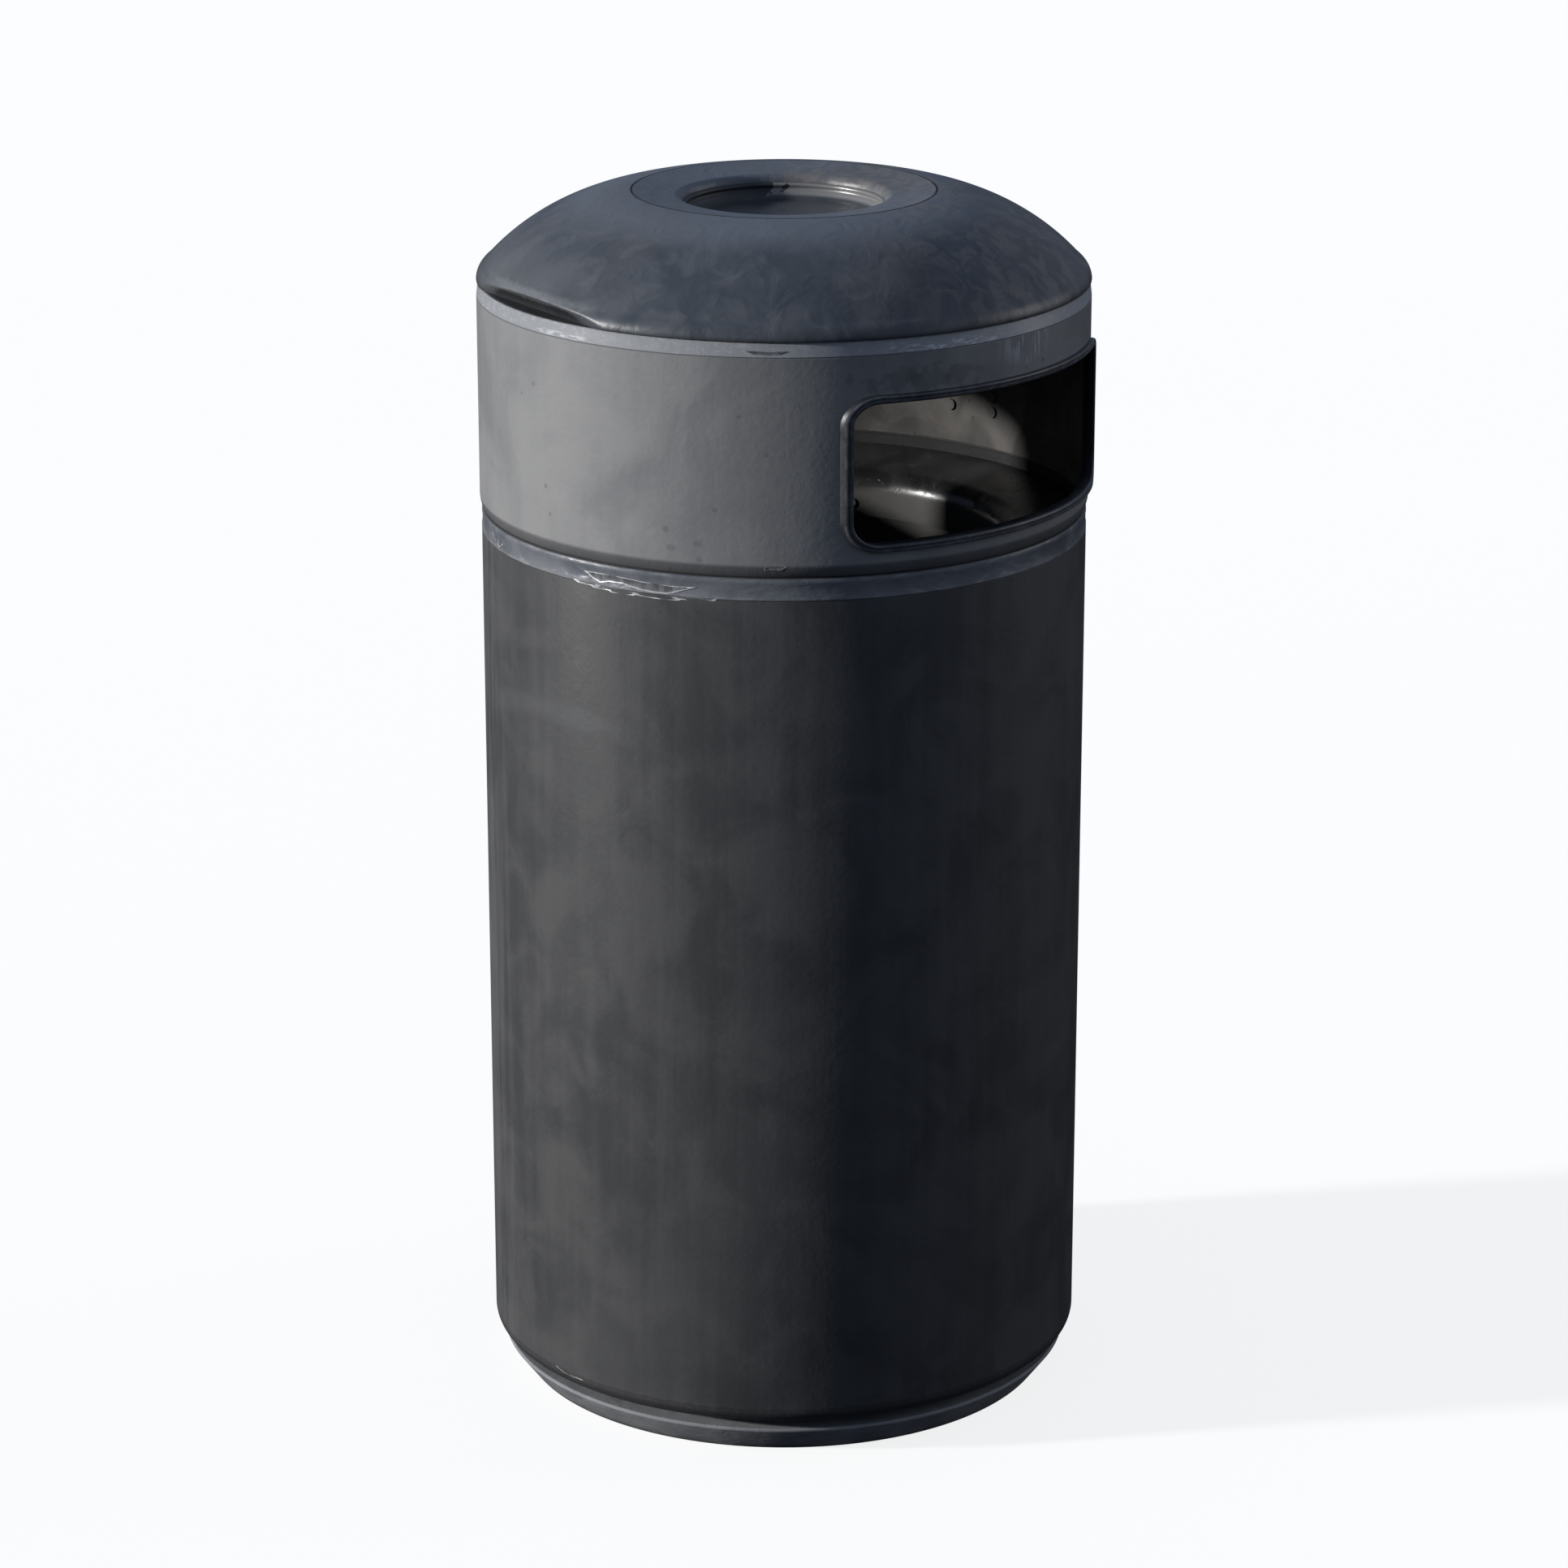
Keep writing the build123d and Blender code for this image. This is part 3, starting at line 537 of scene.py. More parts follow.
# %% [markdown]
# ## Ash tray and dish
# The tray is a plain ring that slopes a little to a rounded mouth, and the dish below it is a spun
# steel pan. A small bead under the mouth is what the pan is crimped to.

# %% Ash tray
MOUTH_R = 92 * MM
tray_outline = [(TRAY_R - 0.5 * MM, TRAY_TOP), (MOUTH_R + 8 * MM, TRAY_TOP - 4.6 * MM)]
tray_outline += arc(
    tray_outline[-1], (MOUTH_R + 2.0 * MM, TRAY_TOP - 7.4 * MM), (MOUTH_R, TRAY_TOP - 12 * MM), 10
)
tray_outline += offsets(0, TRAY_TOP, (118.5, -12), (118.5, -19), (122, -19))
tray_outline += [(122 * MM, seat_z + 0.3 * MM), (TRAY_R, seat_z + 0.3 * MM), (TRAY_R, TRAY_TOP - 0.5 * MM)]
tray = spin("ash_tray_ring", tray_outline, soft=0)
place(tray, "ash_tray_body", "lid_paint", "ash_tray")

# %% Ash dish
dish_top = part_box("ash_dish_wall")[1].z
dish_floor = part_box("ash_dish_floor")[1].z
dish_outline = [(0, dish_floor), (MOUTH_R - 16 * MM, dish_floor)]
dish_outline += arc(
    dish_outline[-1], (MOUTH_R - 6.5 * MM, dish_floor + 2.8 * MM), (MOUTH_R - 3.6 * MM, dish_floor + 7 * MM), 6
)
dish_outline += arc(
    dish_outline[-1], (MOUTH_R - 2.2 * MM, dish_floor + 9.0 * MM), (MOUTH_R - 3.2 * MM, dish_floor + 11 * MM), 5
)
dish_outline += arc(
    dish_outline[-1], (MOUTH_R - 3.2 * MM, dish_floor + 12.8 * MM), (MOUTH_R - 1.0 * MM, dish_top), 5
)
dish_outline += [
    (116 * MM, dish_top),
    (116 * MM, dish_top - 2 * MM),
    (MOUTH_R + 0.6 * MM, dish_top - 2 * MM),
    (MOUTH_R - 2 * MM, dish_floor + 2 * MM),
    (MOUTH_R - 12 * MM, dish_floor - 2.4 * MM),
    (0, dish_floor - 2.4 * MM),
]
dish = spin("ash_dish_pan", dish_outline, closed=False, soft=0)
place(dish, "ash_tray_body", "dish_steel", "ash_dish_ring", "ash_dish_wall", "ash_dish_floor")

# %% [markdown]
# ## Hood
# The hood is a rolled drum. Its lower edge curls in, and its top edge has a scored line and a narrow bevel
# under the lid, worn and painted lighter for the light that it catches. A rounded block cuts each aperture; the
# rear one is narrower.


# %% Hood shell
hood_outline = offsets(HOOD_R, HOOD_BOTTOM, (-5, 0), (-3, 0))
hood_outline += arc(
    hood_outline[-1], (HOOD_R - 0.8 * MM, HOOD_BOTTOM + 5.2 * MM), (HOOD_R, HOOD_BOTTOM + 11 * MM), 6
)
SCORE_Z = HOOD_TOP - 13.6 * MM
hood_outline += offsets(HOOD_R, SCORE_Z, (0, -0.7), (-0.5, -0.1), (-0.5, 0.1), (-0.15, 0.7))
hood_outline += offsets(HOOD_R, HOOD_TOP, (-1.5, -0.6), (-2.1, 0), (-5, 0))
hood = spin("hood_drum", hood_outline, soft=0)


def rounded_block(size, centre, corner):
    """A block of that size whose four edges along Y are rounded."""
    bpy.ops.object.select_all(action="DESELECT")
    bpy.ops.mesh.primitive_cube_add(size=1, location=centre, scale=size)
    bpy.ops.object.transform_apply(location=True, rotation=True, scale=True)
    block = bpy.context.object
    bpy.ops.object.mode_set(mode="EDIT")
    pick(block, "EDGE", lambda edge: abs((edge.verts[0].co - edge.verts[1].co).normalized().y) > 0.99)
    bpy.ops.mesh.bevel(offset=corner, segments=10)
    bpy.ops.object.mode_set(mode="OBJECT")
    return block


LIP = 7.5 * MM
APERTURE_CORNER = 19.5 * MM
HOLE = 8.7 * MM
CUTTER_OUT = 0.2
CUTTER_DEPTH = 0.35


def clear_size(trim):
    """The opening inside a trim: its width, its height and its centre's height."""
    low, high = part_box(trim)
    return high.x - low.x - 2 * LIP, high.z - low.z - 2 * LIP, (high.z + low.z) / 2


for trim, side in (("front_aperture_trim", -1), ("rear_aperture_trim", 1)):
    clear_width, clear_height, middle = clear_size(trim)
    block_size = (clear_width + HOLE, CUTTER_DEPTH, clear_height + HOLE)
    centre = (0, side * CUTTER_OUT, middle)
    cut(hood, rounded_block(block_size, centre, APERTURE_CORNER + HOLE / 2))
    print(trim, "clear", round(clear_width, 3), "by", round(clear_height, 3))
smooth(hood)
place(hood, "hood", "hood_paint", "hood_shell")

# %% [markdown]
# ## Aperture trims
# A trim is a dark pressed frame with two fine ridges and a groove between them, and a lining that
# turns in through the wall. It is made flat: a rounded plate is extruded, then inset again and again,
# each inset being one step of the section. Its middle is deleted, Solidify gives it a wall, and the
# flat frame is then laid round the drum. Made this way the section stays even round the corners.

# %% Trim frames
LINING_R = 274 * MM
SECTION = [
    (0.21, 0.80), (0.59, 0.59), (0.80, 0.21), (0.70, 0.0), (0.50, -0.9), (1.10, 0.0),
    (0.50, 0.60), (0.70, 0.0), (1.20, -0.32), (0.88, -0.88), (0.32, -1.20),
]
lip_back = HOOD_R + 0.15 * MM
lip_wall = 3.2 * MM


def trim_frame(name, trim):
    """A trim that faces -Y, sized from its CAD node."""
    clear_width, clear_height, middle = clear_size(trim)
    bpy.ops.object.select_all(action="DESELECT")
    bpy.ops.mesh.primitive_plane_add(size=1, location=(0, -lip_back, middle), rotation=(radians(90), 0, 0))
    piece = bpy.context.object
    piece.name = name
    piece.scale = (clear_width + 2 * LIP, clear_height + 2 * LIP, 1)
    bpy.ops.object.transform_apply(location=True, rotation=True, scale=True)
    bpy.ops.object.mode_set(mode="EDIT")
    bpy.ops.mesh.select_mode(type="VERT")
    bpy.ops.mesh.select_all(action="SELECT")
    bpy.ops.mesh.bevel(offset=APERTURE_CORNER + LIP, segments=10, affect="VERTICES")
    pick(piece, "EDGE", lambda edge: edge.calc_length() > 50 * MM)
    bpy.ops.mesh.subdivide(number_cuts=30)
    bpy.ops.mesh.select_mode(type="FACE")
    bpy.ops.mesh.select_all(action="SELECT")
    bpy.ops.mesh.extrude_region_move(TRANSFORM_OT_translate={"value": (0, -lip_wall, 0)})
    for inset, rise in SECTION:
        bpy.ops.mesh.inset(thickness=inset * MM, depth=rise * MM)
    inward = lip_back + lip_wall + sum(rise for _, rise in SECTION) * MM - LINING_R
    bpy.ops.mesh.extrude_region_move(TRANSFORM_OT_translate={"value": (0, inward, 0)})
    pick(piece, "FACE", lambda face: len(face.verts) > 8)
    bpy.ops.mesh.delete(type="ONLY_FACE")
    bpy.ops.mesh.select_all(action="SELECT")
    bpy.ops.mesh.remove_doubles(threshold=1e-6)
    bpy.ops.mesh.normals_make_consistent(inside=False)
    bpy.ops.object.mode_set(mode="OBJECT")
    crown_faces = [p.normal.y for p in piece.data.polygons if p.center.y < -lip_back - lip_wall]
    wall = piece.modifiers.new("wall", "SOLIDIFY")
    wall.thickness = 1.4 * MM
    wall.offset = -1 if sum(crown_faces) < 0 else 1
    bpy.ops.object.modifier_apply(modifier=wall.name)
    for vertex in piece.data.vertices:
        vertex.co.y = -sqrt(vertex.co.y ** 2 - vertex.co.x ** 2)
    return smooth(piece, 50)


front = trim_frame("front_trim_frame", "front_aperture_trim")
rear = trim_frame("rear_trim_frame", "rear_aperture_trim")
bpy.ops.transform.rotate(value=pi, orient_axis="Z", center_override=(0, 0, 0))
bpy.ops.object.transform_apply(location=True, rotation=True, scale=True)
place(front, "hood", "trim_paint", "front_aperture_trim")
place(rear, "hood", "trim_paint", "rear_aperture_trim")

# %% [markdown]
# ## Body, band and plinth
# The body is a drum with a rolled foot. The band that closes its top has a small step at its lower
# edge and a bevelled lip, and the plinth is a splayed skirt folded in at its top.

# %% Body drum
body_inner = BODY_R - 4 * MM
body_outline = [(BODY_R - 19.5 * MM, BODY_BOTTOM), (BODY_R - 8.5 * MM, BODY_BOTTOM)]
body_outline += arc(
    body_outline[-1], (BODY_R - 2.3 * MM, BODY_BOTTOM + 4.5 * MM), (BODY_R, BODY_BOTTOM + 12.5 * MM), 8
)
body_outline += [
    (BODY_R, BAND_BOTTOM - 0.9 * MM),
    (BODY_R - 0.5 * MM, BAND_BOTTOM),
    (body_inner, BAND_BOTTOM),
    (body_inner, BODY_BOTTOM + 13.5 * MM),
]
roll_via, roll_end = (body_inner - 1.5 * MM, BODY_BOTTOM + 7.3 * MM), (BODY_R - 9.5 * MM, BODY_BOTTOM + 4 * MM)
body_outline += arc(body_outline[-1], roll_via, roll_end, 5)
body_outline += [(BODY_R - 19.5 * MM, BODY_BOTTOM + 4 * MM)]
body = spin("body_drum", body_outline, soft=0)
place(body, "stand", "body_paint", "body_shell")

# %% Worn band
band_outline = offsets(BODY_R, BAND_BOTTOM, (-0.7, 0), (0, 0.9), (0, 3.2), (-0.5, 4.6))
band_outline += offsets(BODY_R, BAND_TOP, (-0.6, -6.5), (-0.2, -5.0), (-0.3, -2.0), (-1.2, 0), (-4.5, 0))
band_outline += offsets(BODY_R, BAND_BOTTOM, (-4.5, 2), (-8, 2), (-8, -25))
band_outline += offsets(body_inner, BAND_BOTTOM, (-0.1, -25), (-0.1, 0))
band = spin("top_band", band_outline, soft=0.0003)
place(band, "stand", "band_paint", "body_collar")

# %% Plinth skirt
FOOT_R = 251 * MM
skirt_outline = offsets(FOOT_R, 0, (-5, 0), (-0.4, 0), (0.2, 0.7))
skirt_outline += offsets(SKIRT_R, SKIRT_TOP, (-0.3, -3.0), (0, -2.4), (-0.2, -1.0), (-1.5, 0))
skirt_outline += offsets(FOOT_R, SKIRT_TOP, (-6.5, 0), (-6.5, -3))
skirt_outline += offsets(SKIRT_R, SKIRT_TOP, (-5.6, -3))
skirt = spin("plinth_skirt_ring", skirt_outline, soft=0)
place(skirt, "stand", "plinth_paint", "plinth_skirt")

neck = hoop("shadow_gap_neck", "plinth_neck", 4 * MM)
place(neck, "stand", "recess_paint", "plinth_neck")

# %% [markdown]
# ## Liner
# Inside hangs the liner: a black funnel rim with a rounded throat, and a plain galvanised can below.
# The rim has a notch that clears the hood's lock. Both can be seen through the aperture.

# %% Liner rim and can
rim_outline = offsets(RIM_R, RIM_TOP, (0, -3), (-0.3, -0.4), (-1.2, 0), (-8.5, 0), (-48.5, -10.8))
rim_outline += arc(rim_outline[-1], (211 * MM, RIM_TOP - 17.5 * MM), (205 * MM, RIM_TOP - 30 * MM), 12)
rim_outline += offsets(0, RIM_TOP, (205, -56), (208, -56), (208, -30))
rim_outline += arc(rim_outline[-1], (213.3 * MM, RIM_TOP - 19.8 * MM), (225 * MM, RIM_TOP - 13.8 * MM), 6)
rim_outline += [(RIM_R - 8 * MM, RIM_TOP - 3 * MM)]
rim = spin("liner_funnel", rim_outline, soft=0)
notch_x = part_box("liner_rim")[0].x
NOTCH_SIZE = (0.06, 0.096, 0.04)
NOTCH_INNER_X = -240 * MM
notch_middle = notch_x - NOTCH_SIZE[0] / 2
bpy.ops.object.select_all(action="DESELECT")
bpy.ops.mesh.primitive_cube_add(size=1, location=(notch_middle, 0, RIM_TOP), scale=NOTCH_SIZE)
bpy.ops.object.transform_apply(location=True, rotation=True, scale=True)
notch = bpy.context.object
for vertex in notch.data.vertices:
    if vertex.co.x > notch_middle:
        vertex.co.x = NOTCH_INNER_X
print("notch from", round(notch_x, 4))
cut(rim, notch)
smooth(rim)
place(rim, "liner", "rim_paint", "liner_rim")

can_low, can_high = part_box("liner_shell")
can_outline = offsets(can_high.x, can_low.z, (-3, 0), (-0.6, 0), (0, 0.8))
for bead_z in (240 * MM, 520 * MM):
    can_outline += offsets(can_high.x, bead_z, (0, -5), (-1.6, -2), (-1.6, 2), (0, 5))
can_outline += offsets(can_high.x, can_high.z, (0, 0), (-3, 0))
can = spin("liner_can", can_outline, soft=0)
place(can, "liner", "zinc", "liner_shell")

seal = hoop("joint_seal", "hood_seal", 2.7 * MM, soft=0.0003)
place(seal, "stand", "seal_rubber", "hood_seal")

# %% [markdown]
# ## Knocks and tears
# The painted edges carry a few old knocks: a long jagged tear in the band, a three-cornered nick and
# chips on the rolled edges. Each is real relief: its outline is drawn flat, filled, raised and inset
# downward, which leaves a fine burr round a sunken floor, and it is then laid on the drum.


# %% Knock helper
def knock(name, points, radius, burr=0.7, rise=0.45):
    """A burred mark from (compass degrees, height in mm) points on the drum of that radius."""
    flat = [(radians(angle) * radius, -radius, height * MM) for angle, height in points]
    piece = draw_chain(name, flat + flat[:1])
    bpy.ops.mesh.select_all(action="SELECT")
    bpy.ops.mesh.remove_doubles(threshold=1e-6)
    bpy.ops.mesh.edge_face_add()
    bpy.ops.mesh.normals_make_consistent(inside=False)
    mesh = bmesh.from_edit_mesh(piece.data)
    if next(iter(mesh.faces)).normal.y > 0:
        bpy.ops.mesh.flip_normals()
    bpy.ops.mesh.extrude_region_move(TRANSFORM_OT_translate={"value": (0, -rise * MM, 0)})
    bpy.ops.mesh.inset(thickness=burr * 0.5 * MM, depth=0.05 * MM)
    bpy.ops.mesh.inset(thickness=burr * MM, depth=(0.12 - rise) * MM)
    bpy.ops.mesh.select_all(action="SELECT")
    bpy.ops.mesh.quads_convert_to_tris()
    bpy.ops.object.mode_set(mode="OBJECT")
    for vertex in piece.data.vertices:
        turn = FACING + vertex.co.x / radius
        reach = -vertex.co.y
        vertex.co.x = reach * cos(turn)
        vertex.co.y = reach * sin(turn)
    return piece


def knocks(name, body, slot, marks):
    """Several marks on one body, joined into one piece."""
    made = [knock(f"{name}_{n}", *mark) for n, mark in enumerate(marks)]
    bpy.ops.object.select_all(action="DESELECT")
    for piece in made:
        piece.select_set(True)
    bpy.context.view_layer.objects.active = made[0]
    bpy.ops.object.join()
    made[0].name = name
    smooth(made[0], 30)
    return place(made[0], body, slot)


# %% Knocks on the body
tear = [
    (-39.3, 831.4), (-37.2, 826.0), (-35.6, 823.2), (-33.4, 825.4), (-30.7, 825.8), (-27.6, 823.2),
    (-24.5, 821.8), (-21.6, 821.9), (-19.4, 824.9), (-15.9, 830.2), (-21.0, 829.6), (-26.5, 830.4),
    (-30.4, 831.6), (-35.4, 832.0),
]
nick = [(-71.8, 833.0), (-67.6, 823.0), (-65.2, 828.6)]
peeled_edge = [
    (-42.0, 821.6), (-41.0, 819.2), (-37.6, 819.0), (-37.2, 817.6), (-33.6, 817.4), (-33.2, 816.2),
    (-28.4, 816.4), (-27.8, 817.4), (-24.0, 816.4), (-19.4, 816.8), (-18.8, 818.0), (-12.6, 819.0),
    (-12.0, 820.6), (-20.0, 819.8), (-28.0, 819.4), (-36.0, 820.8),
]
body_marks = knocks(
    "body_knocks",
    "stand",
    "band_paint",
    [
        (tear, BODY_R - 0.25 * MM, 0.8, 0.5),
        (nick, BODY_R - 0.3 * MM, 0.7, 0.45),
        (peeled_edge, BODY_R - 0.1 * MM, 0.6, 0.3),
    ],
)

# %% Chips on the rolled foot
foot_chip = [
    (-21.0, 47.6), (-18.4, 46.8), (-16.2, 45.6), (-13.2, 46.4), (-11.6, 47.8), (-13.0, 50.2),
    (-14.4, 49.2), (-15.8, 50.6), (-17.4, 48.6),
]
second_chip = [(-5.0, 47.6), (-2.0, 46.2), (1.0, 46.8), (4.6, 47.8), (2.0, 49.4), (0.6, 48.6), (-1.4, 49.8)]
third_chip = [(-50.4, 50.6), (-47.8, 47.4), (-45.0, 46.8), (-42.0, 47.6), (-45.6, 49.4), (-47.2, 51.8)]
foot_marks = knocks(
    "foot_chips",
    "stand",
    "body_paint",
    [(chip, BODY_R - 0.3 * MM, 0.5, 0.42) for chip in (foot_chip, second_chip, third_chip)],
)

# %% Knocks on the hood
edge_chip = [(-3.6, 848.6), (-0.6, 848.8), (0.6, 852.0), (-1.6, 854.6), (-3.2, 853.0)]
gouge = [
    (-6.8, 1043.4), (-5.4, 1040.6), (-2.6, 1039.8), (-0.6, 1040.6), (0.6, 1043.4), (-2.4, 1042.6),
    (-4.8, 1043.2),
]
hood_marks = knocks(
    "hood_knocks",
    "hood",
    "band_paint",
    [(edge_chip, HOOD_R - 0.3 * MM, 0.6, 0.35), (gouge, HOOD_R - 0.55 * MM, 0.6, 0.3)],
)

# %% [markdown]
# ## Finishes
# Old outdoor paint is never one colour. Each paint starts from three noises: broad clouds of
# weathering, fine grain, and streaks drawn down the drum by rain. What differs is how much of each.


# %% Weathering shared by the paints
def weather(recipe, cloud=0.11, grain=0.006, streak=0.25, cloud_warp=0.4, shift=(0, 0, 0)):
    """A tone around 0.5, the grain and the streaks of weathered paint."""
    clouds = recipe.noise(cloud, 5, warp=cloud_warp, shift=shift)
    grains = recipe.noise(grain, 3)
    streaks = recipe.noise(0.016, 3, stretch=(1, 1, 0.05))
    tone = clouds * (1 - streak) + streaks * streak + (grains - 0.5) * 0.12
    return tone, grains, streaks


def lid_paint():
    """Blue-grey paint, chalked in soft brushed mottles and browner where dirt has settled, with painted light
    on the crown, a painted highlight on the foot and painted shade in the dent and along the foot's lower edge.
    """
    recipe = Recipe("lid_paint")
    radius, angle, z = recipe.polar()
    tone, grains, _ = weather(recipe, cloud=0.07, streak=0.12, cloud_warp=1.2)
    swirls = recipe.noise(0.035, 6, stretch=(1, 1, 0.5), warp=1.5)
    dirt = recipe.ramp(recipe.noise(0.16, 3, shift=(3, 1, 0)), 0.42, 0.62)
    # Painted light: the crown and the tray ring are painted lighter where they face up to the dome.
    crown_light = recipe.ramp(z, TRAY_TOP - 22 * MM, TRAY_TOP - 4 * MM)
    right_side = recipe.ramp(angle, radians(5), radians(60))
    colour = recipe.blend(recipe.ramp(tone, 0.34, 0.66), (0.058, 0.068, 0.083), (0.094, 0.104, 0.120))
    colour = recipe.blend(crown_light * 0.8, colour, (0.150, 0.172, 0.208))
    chalk = recipe.patch(-66, HOOD_TOP + 26 * MM, 34, 30 * MM, (swirls - 0.5) * 1.2, 0.2)
    colour = recipe.blend(chalk * 0.45, colour, (0.140, 0.146, 0.156))
    rust_runs = recipe.ramp(recipe.noise(0.018, 5, stretch=(1, 1, 0.4), warp=1.0), 0.42, 0.62)
    colour = recipe.blend(dirt * (0.25 + right_side * 0.4), colour, (0.112, 0.106, 0.100))
    colour = recipe.blend(rust_runs * right_side * 0.6, colour, (0.200, 0.186, 0.176))
    colour = recipe.blend(recipe.ramp(swirls, 0.50, 0.72) * 0.35, colour, (0.150, 0.160, 0.180))
    seam = recipe.ramp(abs(radius - TRAY_R - 0.2 * MM), 1.5 * MM, 0.8 * MM)
    colour = recipe.blend(seam * 0.9, colour, (0.010, 0.011, 0.013))
    # Painted shade: the pressed-in sheet of the dent is painted near-black, as the shade under its rolled edge.
    dent_shade = recipe.ramp(radius, HOOD_R - 5 * MM, HOOD_R - 9 * MM)
    dent_shade = dent_shade * recipe.ramp(z, HOOD_TOP + 14 * MM, HOOD_TOP + 8 * MM)
    colour = recipe.blend(dent_shade * 0.85, colour, (0.016, 0.016, 0.017))
    # Painted shade: the lowest few millimetres of the lid's foot are painted darker, as the shade where the
    # foot curls under.
    low = recipe.ramp(z, HOOD_TOP + 5 * MM, HOOD_TOP + 0.5 * MM)
    colour = recipe.blend(low * 0.6, colour, (0.040, 0.042, 0.046))
    # Painted highlight: a pale patch on the lid's rolled foot, on the lit side, stands for the key lamp's sheen
    # there. The patch is also made a little glossier.
    foot_sheen = recipe.patch(-56, HOOD_TOP + 14 * MM, 24, 7 * MM, (grains - 0.5) * 0.8)
    colour = recipe.blend(foot_sheen * 0.5, colour, (0.25, 0.26, 0.27))
    roughness = 0.40 + (swirls - 0.5) * 0.35 + (tone - 0.5) * 0.2 - foot_sheen * 0.1
    return recipe.finish(colour, roughness, [(swirls, 0.0012), (grains, 0.00012)])


# Old spots on the hood's wall: compass degrees, height and half width in degrees
SPOTS = [
    (-21.7, 0.881, 1.0), (-15.5, 0.870, 1.3), (-20.7, 0.8646, 1.2), (-12.4, 0.901, 0.7),
    (-15.3, 0.856, 0.8), (-3.0, 0.951, 0.6), (23.7, 1.0153, 2.2), (30.5, 1.0125, 1.2),
    (-52.0, 0.990, 0.8), (-8.0, 0.985, 0.6),
]


def hood_paint():
    """Light grey paint outside, with wear along the top band, painted light on that band and a painted glint on
    it, and painted shade on the curled lower edge; dusty brown-grey inside.
    """
    recipe = Recipe("hood_paint")
    radius, angle, z = recipe.polar()
    tone, grains, streaks = weather(recipe, cloud=0.10, streak=0.16, cloud_warp=0.8)
    colour = recipe.blend(recipe.ramp(tone, 0.30, 0.70), (0.222, 0.226, 0.232), (0.290, 0.290, 0.290))
    specks = recipe.ramp(recipe.cells(0.028), 0.10, 0.04) * recipe.ramp(recipe.noise(0.07, 2), 0.5, 0.62)
    colour = recipe.blend(specks * 0.55, colour, (0.10, 0.10, 0.105))
    spots = 0
    for position, height, size in SPOTS:
        spots = recipe.patch(position, height, size, size * 4.4 * MM, (grains - 0.5) * 0.7, 0.2).most(spots)
    colour = recipe.blend(spots * 0.45, colour, (0.11, 0.115, 0.12))
    stain = recipe.patch(25, HOOD_TOP - 36 * MM, 12, 14 * MM, (recipe.noise(0.012, 4) - 0.5) * 4)
    colour = recipe.blend(stain * 0.4, colour, (0.11, 0.11, 0.115))
    drips = recipe.ramp(recipe.noise(0.006, 4, stretch=(1, 1, 0.2), warp=0.6), 0.50, 0.60)
    drips = drips * recipe.patch(50, HOOD_TOP - 22 * MM, 9, 22 * MM)
    colour = recipe.blend(drips * 0.75, colour, (0.50, 0.51, 0.54))
    # The top band is scuffed paint, and it is also painted lighter than the wall as painted light, for the
    # light that its upward-tilted bevel catches.
    top = recipe.ramp(z, SCORE_Z - 0.5 * MM, SCORE_Z + 0.8 * MM)
    scuffs = recipe.ramp(recipe.noise(0.008, 5, stretch=(1, 1, 2.2), warp=0.8), 0.52, 0.68)
    bevel = recipe.number("ShaderNodeMapRange", 0, None, {0: z, 1: HOOD_TOP, 2: SCORE_Z + 0.8 * MM})
    band_wear_and_light = recipe.blend(scuffs, (0.320, 0.330, 0.345), (0.400, 0.405, 0.420))
    colour = recipe.blend(top * 0.9, colour, band_wear_and_light)
    # Painted highlight: a row of bright dashes on the top band, where the key lamp's glint falls.
    band_glint = recipe.ramp(recipe.noise(0.004, 4, stretch=(0.35, 0.35, 2.2)), 0.45, 0.58)
    band_glint = band_glint * recipe.patch(-44, SCORE_Z + 3 * MM, 10, 3.5 * MM)
    colour = recipe.blend(band_glint * 0.9, colour, (0.60, 0.61, 0.62))
    scratches = recipe.ramp(recipe.noise(0.005, 5, stretch=(0.5, 0.5, 2), warp=1.0), 0.50, 0.62)
    scratches = scratches * recipe.patch(31, HOOD_TOP - 9.5 * MM, 20, 5 * MM)
    colour = recipe.blend(scratches * 0.9, colour, (0.62, 0.64, 0.68))
    # Painted shade: the curled lower edge of the hood is painted darker, as the shade on its downward-facing
    # curl.
    edge = recipe.ramp(z, HOOD_BOTTOM + 12 * MM, HOOD_BOTTOM + 8 * MM)
    colour = recipe.blend(edge * 0.72, colour, (0.060, 0.062, 0.066))
    score = recipe.ramp(abs(z - SCORE_Z), 0.9 * MM, 0.3 * MM)
    colour = recipe.blend(score * 0.55, colour, (0.07, 0.075, 0.085))
    inside = recipe.ramp(radius, HOOD_R - 2.2 * MM, HOOD_R - 3.2 * MM)
    dust = recipe.noise(0.05, 5, warp=0.6)
    pits = recipe.ramp(recipe.cells(0.02, (1, 2, 3)), 0.14, 0.05)
    lining = recipe.blend(recipe.ramp(dust, 0.36, 0.66), (0.036, 0.033, 0.030), (0.088, 0.082, 0.077))
    lining = recipe.blend(pits * 0.7, lining, (0.020, 0.020, 0.020))
    colour = recipe.blend(inside, colour, lining)
    roughness = 0.52 + (tone - 0.5) * 0.25 - top * 0.14 + inside * 0.2 + (streaks - 0.5) * 0.1
    return recipe.finish(colour, roughness, [(tone, 0.0010), (bevel, 0.0058), (grains, 0.00010)])


hood_material = hood_paint()
lid_material = lid_paint()
print("lid and hood paints")


